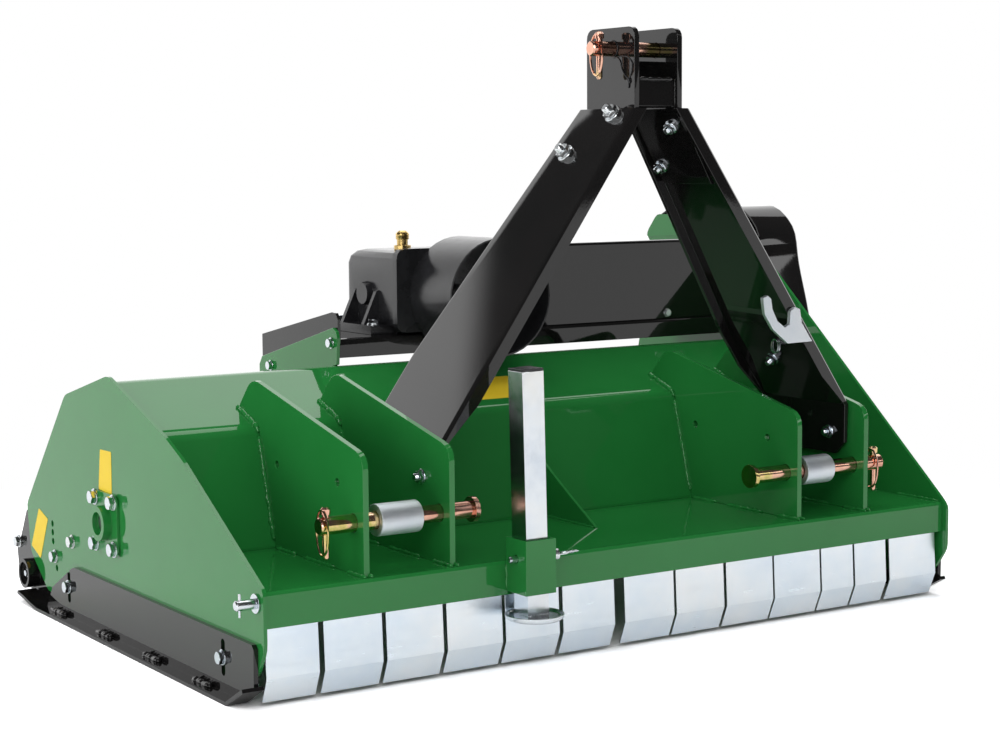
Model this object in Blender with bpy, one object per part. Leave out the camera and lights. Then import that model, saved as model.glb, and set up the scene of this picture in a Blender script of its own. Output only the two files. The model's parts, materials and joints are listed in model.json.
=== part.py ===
"""Tractor mulcher (three-point flail mower), built in metres.

X runs to the belt side, -Y is the tractor side, Z = 0 is the floor. Lengths along Y
count from the front face of the front beam; an empty then moves the whole part so that
the middle of its outline stands on the origin.
"""

import math

import bmesh
import bpy
from mathutils import Matrix, Vector

# Fits and clearances
GAP = 0.0003
RUN = 0.0005
PIN_PLAY = 0.0005
HEAD_SIDES = 6
BORE_PLAY = 0.0006

# Side plates and sheet metal; the outer faces of the side plates set every width
WIDTH = 1.396
PLATE_X = WIDTH / 2
PLATE_T = 0.006
SHEET_T = 0.005
BEAM_LOW = 0.123
SHELF_Z = 0.178
SHELF_END = 0.316
PANEL_Y, PANEL_Z = SHELF_END - 0.006, SHELF_Z + 0.004
BEND_Y, BEND_Z = 0.365, 0.373
PEAK_Y, PEAK_Z = 0.567, 0.443
DECK_Y, DECK_Z = 0.763, 0.394
TAIL_Y, TAIL_Z = 0.961, 0.178

# Hitch plates: left face of each of the four plates
HITCH_T = 0.010
HITCH_X = (-0.518, -0.364, 0.351, 0.5076)
HOLE_A = (0.298, 0.317)
HOLE_B = (0.094, 0.3144)
HITCH_HOLE_R = 0.0065

# Lower hitch pins
LOW_Y, LOW_Z = 0.045, 0.258
LOW_R = 0.014
LOW_COLLAR_R = 0.0205
SPACER_R = 0.0253
LYNCH_R = 0.0054

# Mast bars: outer face of the left web and inner face of the right web, at foot and top
BAR_BEND_Z = 0.367
BAR_TOP_Z = 0.8925
BAR_FOOT_Z = 0.276
BAR_FRONT = 0.050
BAR_T = 0.0098
BAR_FLANGE = 0.0295
LEFT_FOOT_X, LEFT_TOP_X = -0.3537, 0.0198
RIGHT_FOOT_X, RIGHT_TOP_X = 0.4976, 0.1297

# Top bracket and top link pin
EAR_T = 0.010
EAR_FRONT, EAR_REAR = 0.0590, 0.194
EAR_RISE = 0.1335
EAR_TOP = BAR_TOP_Z + EAR_RISE
TOP_Y, TOP_Z = 0.119, EAR_TOP - 0.035
TOP_R = 0.0125

# Rotor and belt drive
ROTOR_Y, ROTOR_Z = 0.580, 0.199
ROTOR_TUBE_R = 0.055
ROTOR_END = PLATE_X - 0.036
TUBE_WALL = 0.007
DRILLING_R = 0.004
FLAIL_R = 0.166
FLAIL_COUNT = 16
FLAIL_REACH = ROTOR_END - 0.062
LEFT_STUB = -PLATE_X - 0.010
SHAFT_R = 0.0165
SPLINE_R = 0.0175
CROSS_Y, CROSS_Z = 0.705, 0.560
BEARING_PITCH = 0.040
BARREL_R = 0.0305
BARREL_X = PLATE_X + 0.020
FLANGE_T = 0.005
DRIVE_R = 0.090
DRIVEN_R = 0.075
PULLEY_X = PLATE_X + 0.024
GROOVE = 0.018
GROOVES = 3
COVER_X = PLATE_X + 0.102
COVER_T = 0.003

# Gearbox, guard and cross beam
GEAR_X0, GEAR_X1 = -0.115, 0.135
GEAR_Y0, GEAR_Y1 = 0.592, 0.790
GEAR_TOP = 0.641
INPUT_X = 0.012
GUARD_R = 0.108
GUARD_FRONT, GUARD_REAR = 0.438, 0.5802
XBEAM_TOP = 0.488
XBEAM_LOW = 0.453
XBEAM_FRONT, XBEAM_REAR = 0.585, 0.800
BRACKET_X = -0.256
SHAFT_COVER_TOP = 0.647

# Skids and rear roller
SKID_T = 0.008
SKID_TOP = 0.098
SOLE_T = 0.006
SOLE_LEFT, SOLE_RIGHT = -PLATE_X - 0.032, PLATE_X + 0.010
ROLLER_Y, ROLLER_Z = 0.955, 0.0503
ROLLER_R = 0.050
ROLLER_WALL = 0.005
ROLLER_STUB_R = 0.016
ROLLER_END = PLATE_X - 0.026
CUP_R = 0.0275

# Flap curtain
ROD_Y, ROD_Z = 0.0178, 0.160
ROD_R = 0.008
ROD_END = PLATE_X + 0.035
FLAP_T = 0.003
# Gaps beside the flaps: place as a share of half the inner width, and gap width
FLAP_JOINTS = ((-0.99783, 0.002), (-0.86084, 0.009), (-0.70303, 0.007), (-0.54552, 0.007),
               (-0.38728, 0.006), (-0.22731, 0.0075), (-0.05708, 0.021), (0.11055, 0.005),
               (0.26734, 0.006), (0.42413, 0.004), (0.58165, 0.004), (0.69581, 0.0045),
               (0.81431, 0.009), (0.99711, 0.016))

# Parking jack
JACK_X, JACK_Y = -0.240, -0.029
SLEEVE_HALF = 0.0285
SLEEVE_WALL = 0.0045
SLEEVE_LOW, SLEEVE_TOP = 0.130, 0.217
LEG_HALF = 0.020
LEG_WALL = 0.003
LEG_LOW, LEG_TOP = 0.0935, 0.482
LEG_LEAN = math.radians(1.3)
FOOT_R = 0.0472
FOOT_X, FOOT_Y = JACK_X - 0.003, -0.0430
JACK_PIN_Z = 0.185
JACK_PIN_R = 0.006


def clear_scene():
    for obj in list(bpy.data.objects):
        bpy.data.objects.remove(obj, do_unlink=True)


def material(name, colour, roughness, metallic):
    mat = bpy.data.materials.new(name)
    mat.use_nodes = True
    shader = mat.node_tree.nodes["Principled BSDF"]
    shader.inputs["Base Color"].default_value = (*colour, 1.0)
    shader.inputs["Roughness"].default_value = roughness
    shader.inputs["Metallic"].default_value = metallic
    mat.diffuse_color = (*colour, 1.0)
    return mat


def place(axis, a, b, along):
    """Point from two in-plane values and one value along the axis."""
    if axis == "X":
        return Vector((along, a, b))
    if axis == "Y":
        return Vector((a, along, b))
    return Vector((a, b, along))


def loft(bm, sections):
    """Closed solid through rings of equal length, capped at both ends."""
    rings = [[bm.verts.new(p) for p in ring] for ring in sections]
    count = len(rings[0])
    for low, high in zip(rings, rings[1:]):
        for i in range(count):
            j = (i + 1) % count
            bm.faces.new((low[i], low[j], high[j], high[i]))
    bm.faces.new(list(reversed(rings[0])))
    bm.faces.new(rings[-1])


def hoop(bm, sections):
    """Closed loop through rings of equal length, with no caps."""
    rings = [[bm.verts.new(p) for p in ring] for ring in sections]
    count = len(rings[0])
    for k, low in enumerate(rings):
        high = rings[(k + 1) % len(rings)]
        for i in range(count):
            j = (i + 1) % count
            bm.faces.new((low[i], low[j], high[j], high[i]))


def prism(bm, outline, axis, low, high):
    ends = [[place(axis, a, b, along) for a, b in outline] for along in (low, high)]
    loft(bm, ends)


def box(bm, x0, x1, y0, y1, z0, z1):
    prism(bm, [(y0, z0), (y1, z0), (y1, z1), (y0, z1)], "X", x0, x1)


def circle(a, b, radius, count, turn=0.0):
    steps = [turn + 2.0 * math.pi * i / count for i in range(count)]
    return [(a + radius * math.cos(t), b + radius * math.sin(t)) for t in steps]


def cylinder(bm, axis, a, b, radius, low, high, count=24):
    prism(bm, circle(a, b, radius, count), axis, low, high)


def turned(bm, axis, a, b, profile, count=24):
    """Stack of round steps: profile holds (position, radius) pairs."""
    loft(bm, [[place(axis, u, v, along) for u, v in circle(a, b, radius, count)]
              for along, radius in profile])


def ring(bm, axis, a, b, profile, count=24):
    """Hollow round piece: profile is a closed (position, radius) outline."""
    sections = []
    for i in range(count):
        t = 2.0 * math.pi * i / count
        sections.append([place(axis, a + r * math.cos(t), b + r * math.sin(t), along)
                         for along, r in profile])
    hoop(bm, sections)


def sleeve(bm, axis, a, b, inner, outer, low, high, count=24):
    profile = [(low, inner), (high, inner), (high, outer), (low, outer)]
    ring(bm, axis, a, b, profile, count)


def torus(bm, centre, normal, major, minor, count=20, sides=8):
    frame = Vector(normal).to_track_quat("Z", "Y").to_matrix()
    sections = []
    for i in range(count):
        t = 2.0 * math.pi * i / count
        radial = frame @ Vector((math.cos(t), math.sin(t), 0.0))
        up = frame @ Vector((0.0, 0.0, 1.0))
        middle = Vector(centre) + radial * major
        sections.append([middle + radial * (minor * math.cos(s)) + up * (minor * math.sin(s))
                         for s in (2.0 * math.pi * k / sides for k in range(sides))])
    hoop(bm, sections)


def rounded(path, radius, steps=3, closed=True):
    """Replace each corner of a path by a short arc."""
    result = []
    count = len(path)
    for i, corner in enumerate(path):
        p = Vector(corner)
        if not closed and i in (0, count - 1):
            result.append(tuple(p))
            continue
        back = Vector(path[i - 1]) - p
        ahead = Vector(path[(i + 1) % count]) - p
        cut = min(radius, 0.45 * back.length, 0.45 * ahead.length)
        start = p + back.normalized() * cut
        end = p + ahead.normalized() * cut
        for k in range(steps + 1):
            t = k / steps
            point = start * (1 - t) ** 2 + p * (2 * t * (1 - t)) + end * t ** 2
            result.append(tuple(point))
    return result


def strip(path, thickness):
    """Outline of a sheet whose outer side follows the path, on its right hand."""
    points = [Vector(p) for p in path]
    inner = []
    for i, p in enumerate(points):
        a = (p - points[i - 1]).normalized() if i else (points[1] - p).normalized()
        b = (points[i + 1] - p).normalized() if i < len(points) - 1 else a
        na = Vector((a.y, -a.x))
        nb = Vector((b.y, -b.x))
        middle = (na + nb).normalized()
        inner.append(p + middle * (thickness / max(0.3, middle.dot(na))))
    return [tuple(p) for p in points] + [tuple(p) for p in reversed(inner)]


def base_frame():
    """Empty that carries every piece, so that the part's middle stands on the origin."""
    empty = bpy.data.objects.get("mulcher_frame")
    if empty is None:
        empty = bpy.data.objects.new("mulcher_frame", None)
        empty.location = (-(COVER_X - ROD_END) / 2, -(FOOT_Y - FOOT_R + ARM_REAR) / 2, 0.0)
        bpy.context.scene.collection.objects.link(empty)
    return empty


def node(bm, name, mat, pivot=(0.0, 0.0, 0.0), smooth=False, turn=None):
    bmesh.ops.recalc_face_normals(bm, faces=bm.faces)
    bmesh.ops.translate(bm, verts=bm.verts, vec=-Vector(pivot))
    mesh = bpy.data.meshes.new(name)
    bm.to_mesh(mesh)
    bm.free()
    mesh.materials.append(mat)
    if smooth:
        mesh.shade_smooth()
        mesh.set_sharp_from_angle(angle=math.radians(35.0))
    obj = bpy.data.objects.new(name, mesh)
    obj.location = pivot
    if turn:
        obj.rotation_euler = turn
    obj.parent = base_frame()
    bpy.context.scene.collection.objects.link(obj)
    return obj


def tool(obj, bm, operation, label):
    """Boolean of one hidden helper on an object."""
    bmesh.ops.recalc_face_normals(bm, faces=bm.faces)
    mesh = bpy.data.meshes.new(label)
    bm.to_mesh(mesh)
    bm.free()
    helper = bpy.data.objects.new(label, mesh)
    helper.hide_render = True
    helper.display_type = "WIRE"
    helper.parent = base_frame()
    bpy.context.scene.collection.objects.link(helper)
    mod = obj.modifiers.new(label, "BOOLEAN")
    mod.operation = operation
    mod.solver = "EXACT"
    mod.object = helper
    return mod


def drill(obj, axis, holes, low, high, count=16):
    bm = bmesh.new()
    for a, b, radius in holes:
        cylinder(bm, axis, a, b, radius, low, high, count)
    tool(obj, bm, "DIFFERENCE", "holes_" + obj.name)


def bolt_head(bm, point, axis, size=0.006):
    """Washer and hexagon head: the point lies on the clamped face, the axis points out."""
    out = Vector(axis).normalized()
    frame = out.to_track_quat("Z", "Y").to_matrix()
    washer, across = 2.0 * size, 1.7 * size
    sections = []
    steps = ((-0.001, washer), (0.4 * size, washer), (0.4 * size, across), (1.6 * size, across))
    for along, radius in steps:
        ring_of = circle(0, 0, radius, HEAD_SIDES)
        sections.append([Vector(point) + frame @ Vector((u, v, along)) for u, v in ring_of])
    loft(bm, sections)


def add_heads(obj, heads, size=0.006):
    """Join bolt heads to the piece that they clamp."""
    bm = bmesh.new()
    for point, axis in heads:
        bolt_head(bm, point, axis, size)
    tool(obj, bm, "UNION", "heads_" + obj.name)


def bearing_points(y, z):
    return [(y + sy * BEARING_PITCH, z + sz * BEARING_PITCH) for sy in (-1, 1) for sz in (-1, 1)]


PLATE_BOLTS = [(0.743, 0.141), (0.829, 0.101)]
SKID_BOLTS = [(0.118, 0.060), (0.747, 0.060)]
HEIGHT_HOLES = [(0.841, 0.159), (0.841, 0.143), (0.840, 0.127), (0.825, 0.080)]


def front_beam(mat):
    path = [(0.0, BEAM_LOW), (0.0, SHELF_Z), (SHELF_END, SHELF_Z)]
    outline = strip(rounded(path, 0.008, 3, closed=False), SHEET_T)
    bm = bmesh.new()
    span = PLATE_X - PLATE_T - GAP
    prism(bm, outline, "X", -span, span)
    return node(bm, "front_beam", mat)


def housing_shell(mat):
    path = [(PANEL_Y, SHELF_Z + GAP), (PANEL_Y, PANEL_Z), (BEND_Y, BEND_Z), (PEAK_Y, PEAK_Z),
            (DECK_Y, DECK_Z), (TAIL_Y, TAIL_Z)]
    outline = strip(rounded(path, 0.016, 3, closed=False), SHEET_T)
    bm = bmesh.new()
    span = PLATE_X - PLATE_T - GAP
    prism(bm, outline, "X", -span, span)
    return node(bm, "housing_shell", mat)


LEFT_OUTLINE = [(-0.005, 0.092), (-0.005, 0.175), (-0.001, 0.184), (0.271, 0.344),
                (0.333, 0.372), (0.560, 0.4495), (0.573, 0.4495),
                (0.763, 0.401), (0.969, 0.178), (0.955, 0.090), (0.938, 0.078), (0.872, 0.030),
                (0.060, 0.030), (0.019, 0.050)]
RIGHT_OUTLINE = [(-0.010, 0.092), (-0.010, 0.172), (0.003, 0.185), (0.580, 0.675), (0.600, 0.690),
                 (0.859, 0.690), (0.8945, 0.650), (0.885, 0.560), (0.950, 0.300),
                 (0.969, 0.178), (0.955, 0.090), (0.938, 0.078), (0.872, 0.030),
                 (0.060, 0.030), (0.019, 0.050)]


def side_plate_left(mat):
    bm = bmesh.new()
    prism(bm, rounded(LEFT_OUTLINE, 0.010, 2), "X", -PLATE_X, -PLATE_X + PLATE_T)
    obj = node(bm, "side_plate_left", mat)
    holes = [(y, z, 0.006) for y, z in HEIGHT_HOLES]
    holes += [(ROTOR_Y, ROTOR_Z, SHAFT_R + 0.004), (ROD_Y, ROD_Z, ROD_R + RUN)]
    drill(obj, "X", holes, -PLATE_X - 0.02, -PLATE_X + 0.02)
    add_heads(obj, [((-PLATE_X, *p), (-1, 0, 0)) for p in PLATE_BOLTS])
    return obj


def side_plate_right(mat):
    bm = bmesh.new()
    prism(bm, rounded(RIGHT_OUTLINE, 0.010, 2), "X", PLATE_X - PLATE_T, PLATE_X)
    obj = node(bm, "side_plate_right", mat)
    holes = [(ROTOR_Y, ROTOR_Z, SHAFT_R + 0.004), (CROSS_Y, CROSS_Z, SHAFT_R + 0.004)]
    holes += [(ROD_Y, ROD_Z, ROD_R + RUN)]
    drill(obj, "X", holes, PLATE_X - 0.02, PLATE_X + 0.02)
    heads = [((PLATE_X, *p), (1, 0, 0)) for p in PLATE_BOLTS]
    heads.append(((PLATE_X - PLATE_T, 0.505, 0.600), (-1, 0, 0)))
    add_heads(obj, heads)
    return obj


def hitch_outline():
    foot = SHELF_Z + GAP
    lift = GAP * 1.6
    slope = (PEAK_Z - BEND_Z) / (PEAK_Y - BEND_Y)
    rear_y = 0.436
    rear_z = BEND_Z + slope * (rear_y - BEND_Y) + lift
    front = [(0.013, foot)] + rounded([(0.013, foot), (0.013, 0.3650), (0.385, 0.4520), (rear_y, rear_z)],
                                      0.024, 4, closed=False)[1:-1]
    back = [(rear_y, rear_z), (BEND_Y - 0.004, BEND_Z + lift),
            (BEND_Y - 0.004 - lift, BEND_Z - 0.003), (PANEL_Y - lift, PANEL_Z + 0.003),
            (PANEL_Y - lift, foot)]
    return front + back


def hitch_plate(index, mat, x):
    bm = bmesh.new()
    prism(bm, hitch_outline(), "X", x, x + HITCH_T)
    obj = node(bm, "hitch_plate_%d" % index, mat)
    holes = [(*HOLE_A, HITCH_HOLE_R), (LOW_Y, LOW_Z, LOW_R + RUN)]
    if index in (1, 3):
        holes.append((*HOLE_B, HITCH_HOLE_R))
    drill(obj, "X", holes, x - 0.02, x + 0.03, 20)
    if index == 2:
        add_heads(obj, [((x, 0.0945, 0.3095), (-1, 0, 0))])
    return obj


def gusset_rib(mat):
    bm = bmesh.new()
    foot = SHELF_Z + GAP
    lean = (BEND_Y - PANEL_Y) / (BEND_Z - PANEL_Z)
    top = 0.297
    root = PANEL_Y - 2 * GAP
    prism(bm, [(0.150, foot), (root, foot), (root, PANEL_Z), (root + lean * (top - PANEL_Z), top),
               (0.307, 0.272), (0.230, 0.225)], "X", 0.015, 0.021)
    return node(bm, "gusset_rib", mat)


def bar_lean(left):
    """Sideways travel of a mast bar per metre of height."""
    foot, top = (LEFT_FOOT_X, LEFT_TOP_X) if left else (RIGHT_FOOT_X, RIGHT_TOP_X)
    return (top - foot) / (BAR_TOP_Z - BAR_BEND_Z)


def bar_face(left, z):
    """Outer face of a mast bar's web: upright at the foot, leaning in above the bend."""
    rise = max(z, BAR_BEND_Z) - BAR_BEND_Z
    foot = LEFT_FOOT_X if left else RIGHT_FOOT_X + BAR_T
    return foot + bar_lean(left) * rise


def mast_bar(name, mat, left):
    """Tapered channel: web outside, both flanges folded inward."""
    inward = 1.0 if left else -1.0
    levels = [(BAR_FOOT_Z, 0.075, 0.185, 0.0115), (BAR_FOOT_Z + 0.022, 0.052, 0.235, 0.0115),
              (BAR_BEND_Z, BAR_FRONT, 0.282, 0.013), (BAR_BEND_Z + 0.055, BAR_FRONT, 0.283, BAR_FLANGE),
              (0.483, BAR_FRONT, 0.282, BAR_FLANGE), (BAR_TOP_Z, BAR_FRONT, 0.203, BAR_FLANGE)]
    fold = 0.0075
    sections = []
    for z, front, rear, depth in levels:
        x = bar_face(left, z)
        thick = min(0.008, depth - 0.001)
        loop = [(0.0, front + fold), (0.2 * fold, front + 0.35 * fold), (0.7 * fold, front),
                (depth, front), (depth, front + thick), (BAR_T, front + thick),
                (BAR_T, rear - thick), (depth, rear - thick), (depth, rear),
                (0.7 * fold, rear), (0.2 * fold, rear - 0.35 * fold), (0.0, rear - fold)]
        sections.append([Vector((x + inward * a, b, z)) for a, b in loop])
    bm = bmesh.new()
    loft(bm, sections)
    obj = node(bm, name, mat)
    if left:
        heads = [(Vector((bar_face(True, z), y, z)), bar_normal(True)) for y, z in MAST_BOLTS]
    else:
        inner = -bar_normal(False)
        heads = [((bar_face(False, 0.0) - BAR_T, *HOLE_B), (-1, 0, 0))]
        y, z = HOOK_BOLT
        heads.append((Vector((bar_face(False, z) - BAR_T, y, z)), inner))
    add_heads(obj, heads, MAST_BOLT_SIZE if left else 0.006)
    return obj


MAST_BOLTS = [(0.0945, BAR_TOP_Z - 0.0104), (0.1665, BAR_TOP_Z - 0.0745)]
WING_BOLTS = [(0.102, BAR_TOP_Z - 0.0300), (0.190, BAR_TOP_Z - 0.0970)]
MAST_BOLT_SIZE = 0.0076
HOOK_BOLT = (0.185, 0.445)


def bar_normal(left):
    """Unit vector out of the web of a mast bar, away from the other bar."""
    sign = -1.0 if left else 1.0
    return Vector((sign, 0.0, -sign * bar_lean(left))).normalized()


def top_bracket(mat):
    """Two ears with splayed wings that lie inside the mast bars, and two cross plates."""
    low = BAR_TOP_Z - 0.1275
    corner = 0.016
    xl = bar_face(True, BAR_TOP_Z) + BAR_T + GAP
    xr = bar_face(False, BAR_TOP_Z) - BAR_T - GAP
    ears = []
    for x, sign, left in ((xl, 1.0, True), (xr, -1.0, False)):
        drop = bar_lean(left) * (low - BAR_TOP_Z)
        rows = [(low, x + drop, EAR_FRONT + 0.02, EAR_REAR + 0.015), (BAR_TOP_Z, x, EAR_FRONT, EAR_REAR)]
        for t in (0.0, 22.5, 45.0, 67.5, 90.0):
            side = corner * (1.0 - math.cos(math.radians(t)))
            level = EAR_TOP - corner * (1.0 - math.sin(math.radians(t)))
            rows.append((level, x, EAR_FRONT + side, EAR_REAR - side))
        bm = bmesh.new()
        loft(bm, [[Vector((a, f, z)), Vector((a + sign * EAR_T, f, z)),
                   Vector((a + sign * EAR_T, r, z)), Vector((a, r, z))] for z, a, f, r in rows])
        ears.append(bm)
    obj = node(ears[0], "top_bracket", mat)
    for k, (y, rise) in enumerate(((EAR_FRONT + 0.007, 0.048), (EAR_REAR - 0.017, 0.083))):
        plate = bmesh.new()
        box(plate, xl + 0.004, xr - 0.004, y, y + 0.008, BAR_TOP_Z + 0.0035, BAR_TOP_Z + rise)
        tool(obj, plate, "UNION", "cross_plate_%d" % k)
    tool(obj, ears[1], "UNION", "right_ear")
    drill(obj, "X", [(TOP_Y, TOP_Z, TOP_R + RUN)], xl - 0.02, xr + 0.02, 20)
    heads = []
    for y, z in WING_BOLTS:
        x = bar_face(False, z) - BAR_T - GAP - EAR_T
        heads.append((Vector((x, y, z)), -bar_normal(False)))
    add_heads(obj, heads)
    return obj


def lynch(name, mat, x, y, z, pin_r):
    """Lynch pin standing in a cross hole, with its oval snap ring closed around the shaft."""
    bm = bmesh.new()
    head, tail = z + pin_r + 0.004, z - pin_r - 0.038
    turned(bm, "Z", x, y, [(tail, LYNCH_R - 0.002), (tail + 0.004, LYNCH_R), (head, LYNCH_R),
                           (head, 0.0080), (head + 0.008, 0.0080), (head + 0.011, 0.0050)], 14)
    obj = node(bm, name, mat, (x, y, z), smooth=True)
    wide, low, high = pin_r + 0.0045, tail + 0.006, head + 0.007
    sections = []
    for i in range(22):
        t = 2.0 * math.pi * i / 22
        middle = Vector((x - LYNCH_R - 0.0005, y + wide * math.cos(t),
                         (low + high) / 2 + (high - low) / 2 * math.sin(t)))
        radial = Vector((0.0, math.cos(t), math.sin(t)))
        sections.append([middle + radial * (0.0019 * math.cos(a)) + Vector((0.0019 * math.sin(a), 0.0, 0.0))
                         for a in (math.pi * k / 3.0 for k in range(6))])
    loop = bmesh.new()
    hoop(loop, sections)
    tool(obj, loop, "UNION", "ring_" + name)
    return obj


def hitch_pin(name, mat, y, z, radius, profile, hole_x):
    bm = bmesh.new()
    turned(bm, "X", y, z, profile, 24)
    obj = node(bm, name, mat, (0.0, y, z), smooth=True)
    cut = bmesh.new()
    cylinder(cut, "Z", hole_x, 0.0, LYNCH_R + GAP, -2 * radius, 2 * radius, 14)
    bmesh.ops.translate(cut, verts=cut.verts, vec=(0.0, y, z))
    tool(obj, cut, "DIFFERENCE", "hole_" + name)
    return obj


LOW_LEFT_LYNCH = -0.5655
LOW_RIGHT_LYNCH = 0.5600
TOP_LYNCH = 0.0020


def hitch_pins(brass, zinc):
    chamfer = 0.002
    left = [(-0.5785, LOW_R - chamfer), (-0.5765, LOW_R), (-0.3065, LOW_R),
            (-0.3065, LOW_COLLAR_R), (-0.2985, LOW_COLLAR_R)]
    right = [(0.2680, LOW_COLLAR_R), (0.2760, LOW_COLLAR_R), (0.2760, LOW_R),
             (0.5720, LOW_R), (0.5740, LOW_R - chamfer)]
    top = [(-0.0170, TOP_R - chamfer), (-0.0150, TOP_R), (0.1490, TOP_R),
           (0.1490, 0.0175), (0.1610, 0.0175)]
    hitch_pin("lower_pin_left", brass, LOW_Y, LOW_Z, LOW_R, left, LOW_LEFT_LYNCH)
    hitch_pin("lower_pin_right", brass, LOW_Y, LOW_Z, LOW_R, right, LOW_RIGHT_LYNCH)
    hitch_pin("top_link_pin", brass, TOP_Y, TOP_Z, TOP_R, top, TOP_LYNCH)
    lynch("lynch_pin_left", brass, LOW_LEFT_LYNCH, LOW_Y, LOW_Z, LOW_R)
    lynch("lynch_pin_right", brass, LOW_RIGHT_LYNCH, LOW_Y, LOW_Z, LOW_R)
    lynch("lynch_pin_top", brass, TOP_LYNCH, TOP_Y, TOP_Z, TOP_R)
    for name, x0, x1 in (("spacer_left", -0.4800, -0.4060), ("spacer_right", 0.3830, 0.4460)):
        bm = bmesh.new()
        sleeve(bm, "X", LOW_Y, LOW_Z, LOW_R + 2 * RUN, SPACER_R, x0, x1, 28)
        node(bm, name, zinc, ((x0 + x1) / 2, LOW_Y, LOW_Z), smooth=True)


def gearbox_housing(mat):
    bm = bmesh.new()
    low = 0.5035
    shoulder = 0.026
    rows = [(low, 0.0), (GEAR_TOP - shoulder, 0.0)]
    rows += [(GEAR_TOP - shoulder * (1.0 - math.sin(t)), shoulder * (1.0 - math.cos(t)))
             for t in (math.radians(30.0 * k) for k in (1, 2, 3))]
    rim = [(GEAR_X0, GEAR_Y0), (GEAR_X1, GEAR_Y0)]
    rim += [(GEAR_X1, GEAR_Y1 - 0.018), (GEAR_X1 - 0.005, GEAR_Y1 - 0.005), (GEAR_X1 - 0.018, GEAR_Y1)]
    rim += [(GEAR_X0 + 0.018, GEAR_Y1), (GEAR_X0 + 0.005, GEAR_Y1 - 0.005), (GEAR_X0, GEAR_Y1 - 0.018)]
    middle = (GEAR_X0 + GEAR_X1) / 2
    half = (GEAR_X1 - GEAR_X0) / 2
    length = GEAR_Y1 - GEAR_Y0
    loft(bm, [[Vector((middle + (x - middle) * (1.0 - inset / half),
                       GEAR_Y0 + (y - GEAR_Y0) * (1.0 - inset / length), z)) for x, y in rim]
              for z, inset in rows])
    obj = node(bm, "gearbox_housing", mat)
    flange = bmesh.new()
    rim = rounded([(GEAR_X0 - 0.008, XBEAM_TOP + 0.004), (GEAR_X1 + 0.008, XBEAM_TOP + 0.004),
                   (GEAR_X1 + 0.008, GEAR_TOP + 0.006), (GEAR_X0 - 0.008, GEAR_TOP + 0.006)], 0.02)
    prism(flange, rim, "Y", GUARD_REAR + GAP, GEAR_Y0 + 0.004)
    tool(obj, flange, "UNION", "gearbox_flange")
    foot = bmesh.new()
    box(foot, GEAR_X0 - 0.040, GEAR_X1 + 0.030, GEAR_Y0 + 0.030, GEAR_Y1 + 0.006,
        XBEAM_TOP + GAP, 0.5045)
    tool(obj, foot, "UNION", "gearbox_foot")
    for k, x, sign in ((0, GEAR_X0, -1.0), (1, GEAR_X1, 1.0)):
        boss = bmesh.new()
        reach = sign * 0.012
        profile = sorted([(x - sign * 0.004, 0.0235), (x + reach, 0.0205)])
        turned(boss, "X", CROSS_Y, CROSS_Z, profile, 20)
        tool(obj, boss, "UNION", "gearbox_boss_%d" % k)
    for k, y in enumerate((CROSS_Y - 0.040, CROSS_Y + 0.040)):
        web = bmesh.new()
        prism(web, [(GEAR_X0 + 0.004, 0.5040), (GEAR_X0 - 0.034, 0.5040), (GEAR_X0 - 0.006, 0.565),
                    (GEAR_X0 + 0.004, 0.570)], "Y", y - 0.005, y + 0.005)
        tool(obj, web, "UNION", "gearbox_web_%d" % k)
    sump = bmesh.new()
    wall = 0.012
    box(sump, GEAR_X0 + 1.5 * wall, GEAR_X1 - 1.5 * wall, GEAR_Y0 + 2 * wall, GEAR_Y1 - 1.5 * wall,
        0.516, GEAR_TOP - 1.5 * wall)
    tool(obj, sump, "DIFFERENCE", "gearbox_sump")
    bores = bmesh.new()
    cylinder(bores, "X", CROSS_Y, CROSS_Z, SHAFT_R + BORE_PLAY, GEAR_X0 + 0.006, GEAR_X1 + 0.03, 20)
    cylinder(bores, "Y", INPUT_X, CROSS_Z, SHAFT_R + BORE_PLAY, GUARD_REAR - 0.02, 0.672, 20)
    tool(obj, bores, "DIFFERENCE", "gearbox_bores")
    add_heads(obj, [((x, y, 0.5045), (0, 0, 1)) for x, y in GEAR_BOLTS])
    return obj


GEAR_BOLTS = [(GEAR_X0 - 0.022, GEAR_Y0 + 0.052), (GEAR_X0 - 0.022, GEAR_Y1 - 0.010),
              (GEAR_X1 + 0.016, GEAR_Y0 + 0.052), (GEAR_X1 + 0.016, GEAR_Y1 - 0.010)]


def oil_breather(mat):
    bm = bmesh.new()
    z = GEAR_TOP + GAP
    hexes = [(z, 0.016), (z + 0.009, 0.016), (z + 0.009, 0.010), (z + 0.020, 0.010),
             (z + 0.020, 0.012), (z + 0.030, 0.012), (z + 0.036, 0.006)]
    turned(bm, "Z", -0.062, 0.662, hexes, 12)
    return node(bm, "oil_breather", mat, smooth=False)


def pto_guard(mat):
    bm = bmesh.new()
    wall = 0.003
    profile = [(GUARD_FRONT, GUARD_R - wall), (GUARD_FRONT, GUARD_R), (GUARD_REAR, GUARD_R),
               (GUARD_REAR, 0.045), (GUARD_REAR - wall, 0.045), (GUARD_REAR - wall, GUARD_R - wall)]
    ring(bm, "Y", INPUT_X, CROSS_Z, profile, 40)
    obj = node(bm, "pto_guard", mat, smooth=True)
    drill(obj, "Z", [(INPUT_X + 0.01, 0.545, 0.011)], CROSS_Z + 0.06, CROSS_Z + 0.16, 16)
    return obj


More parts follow.
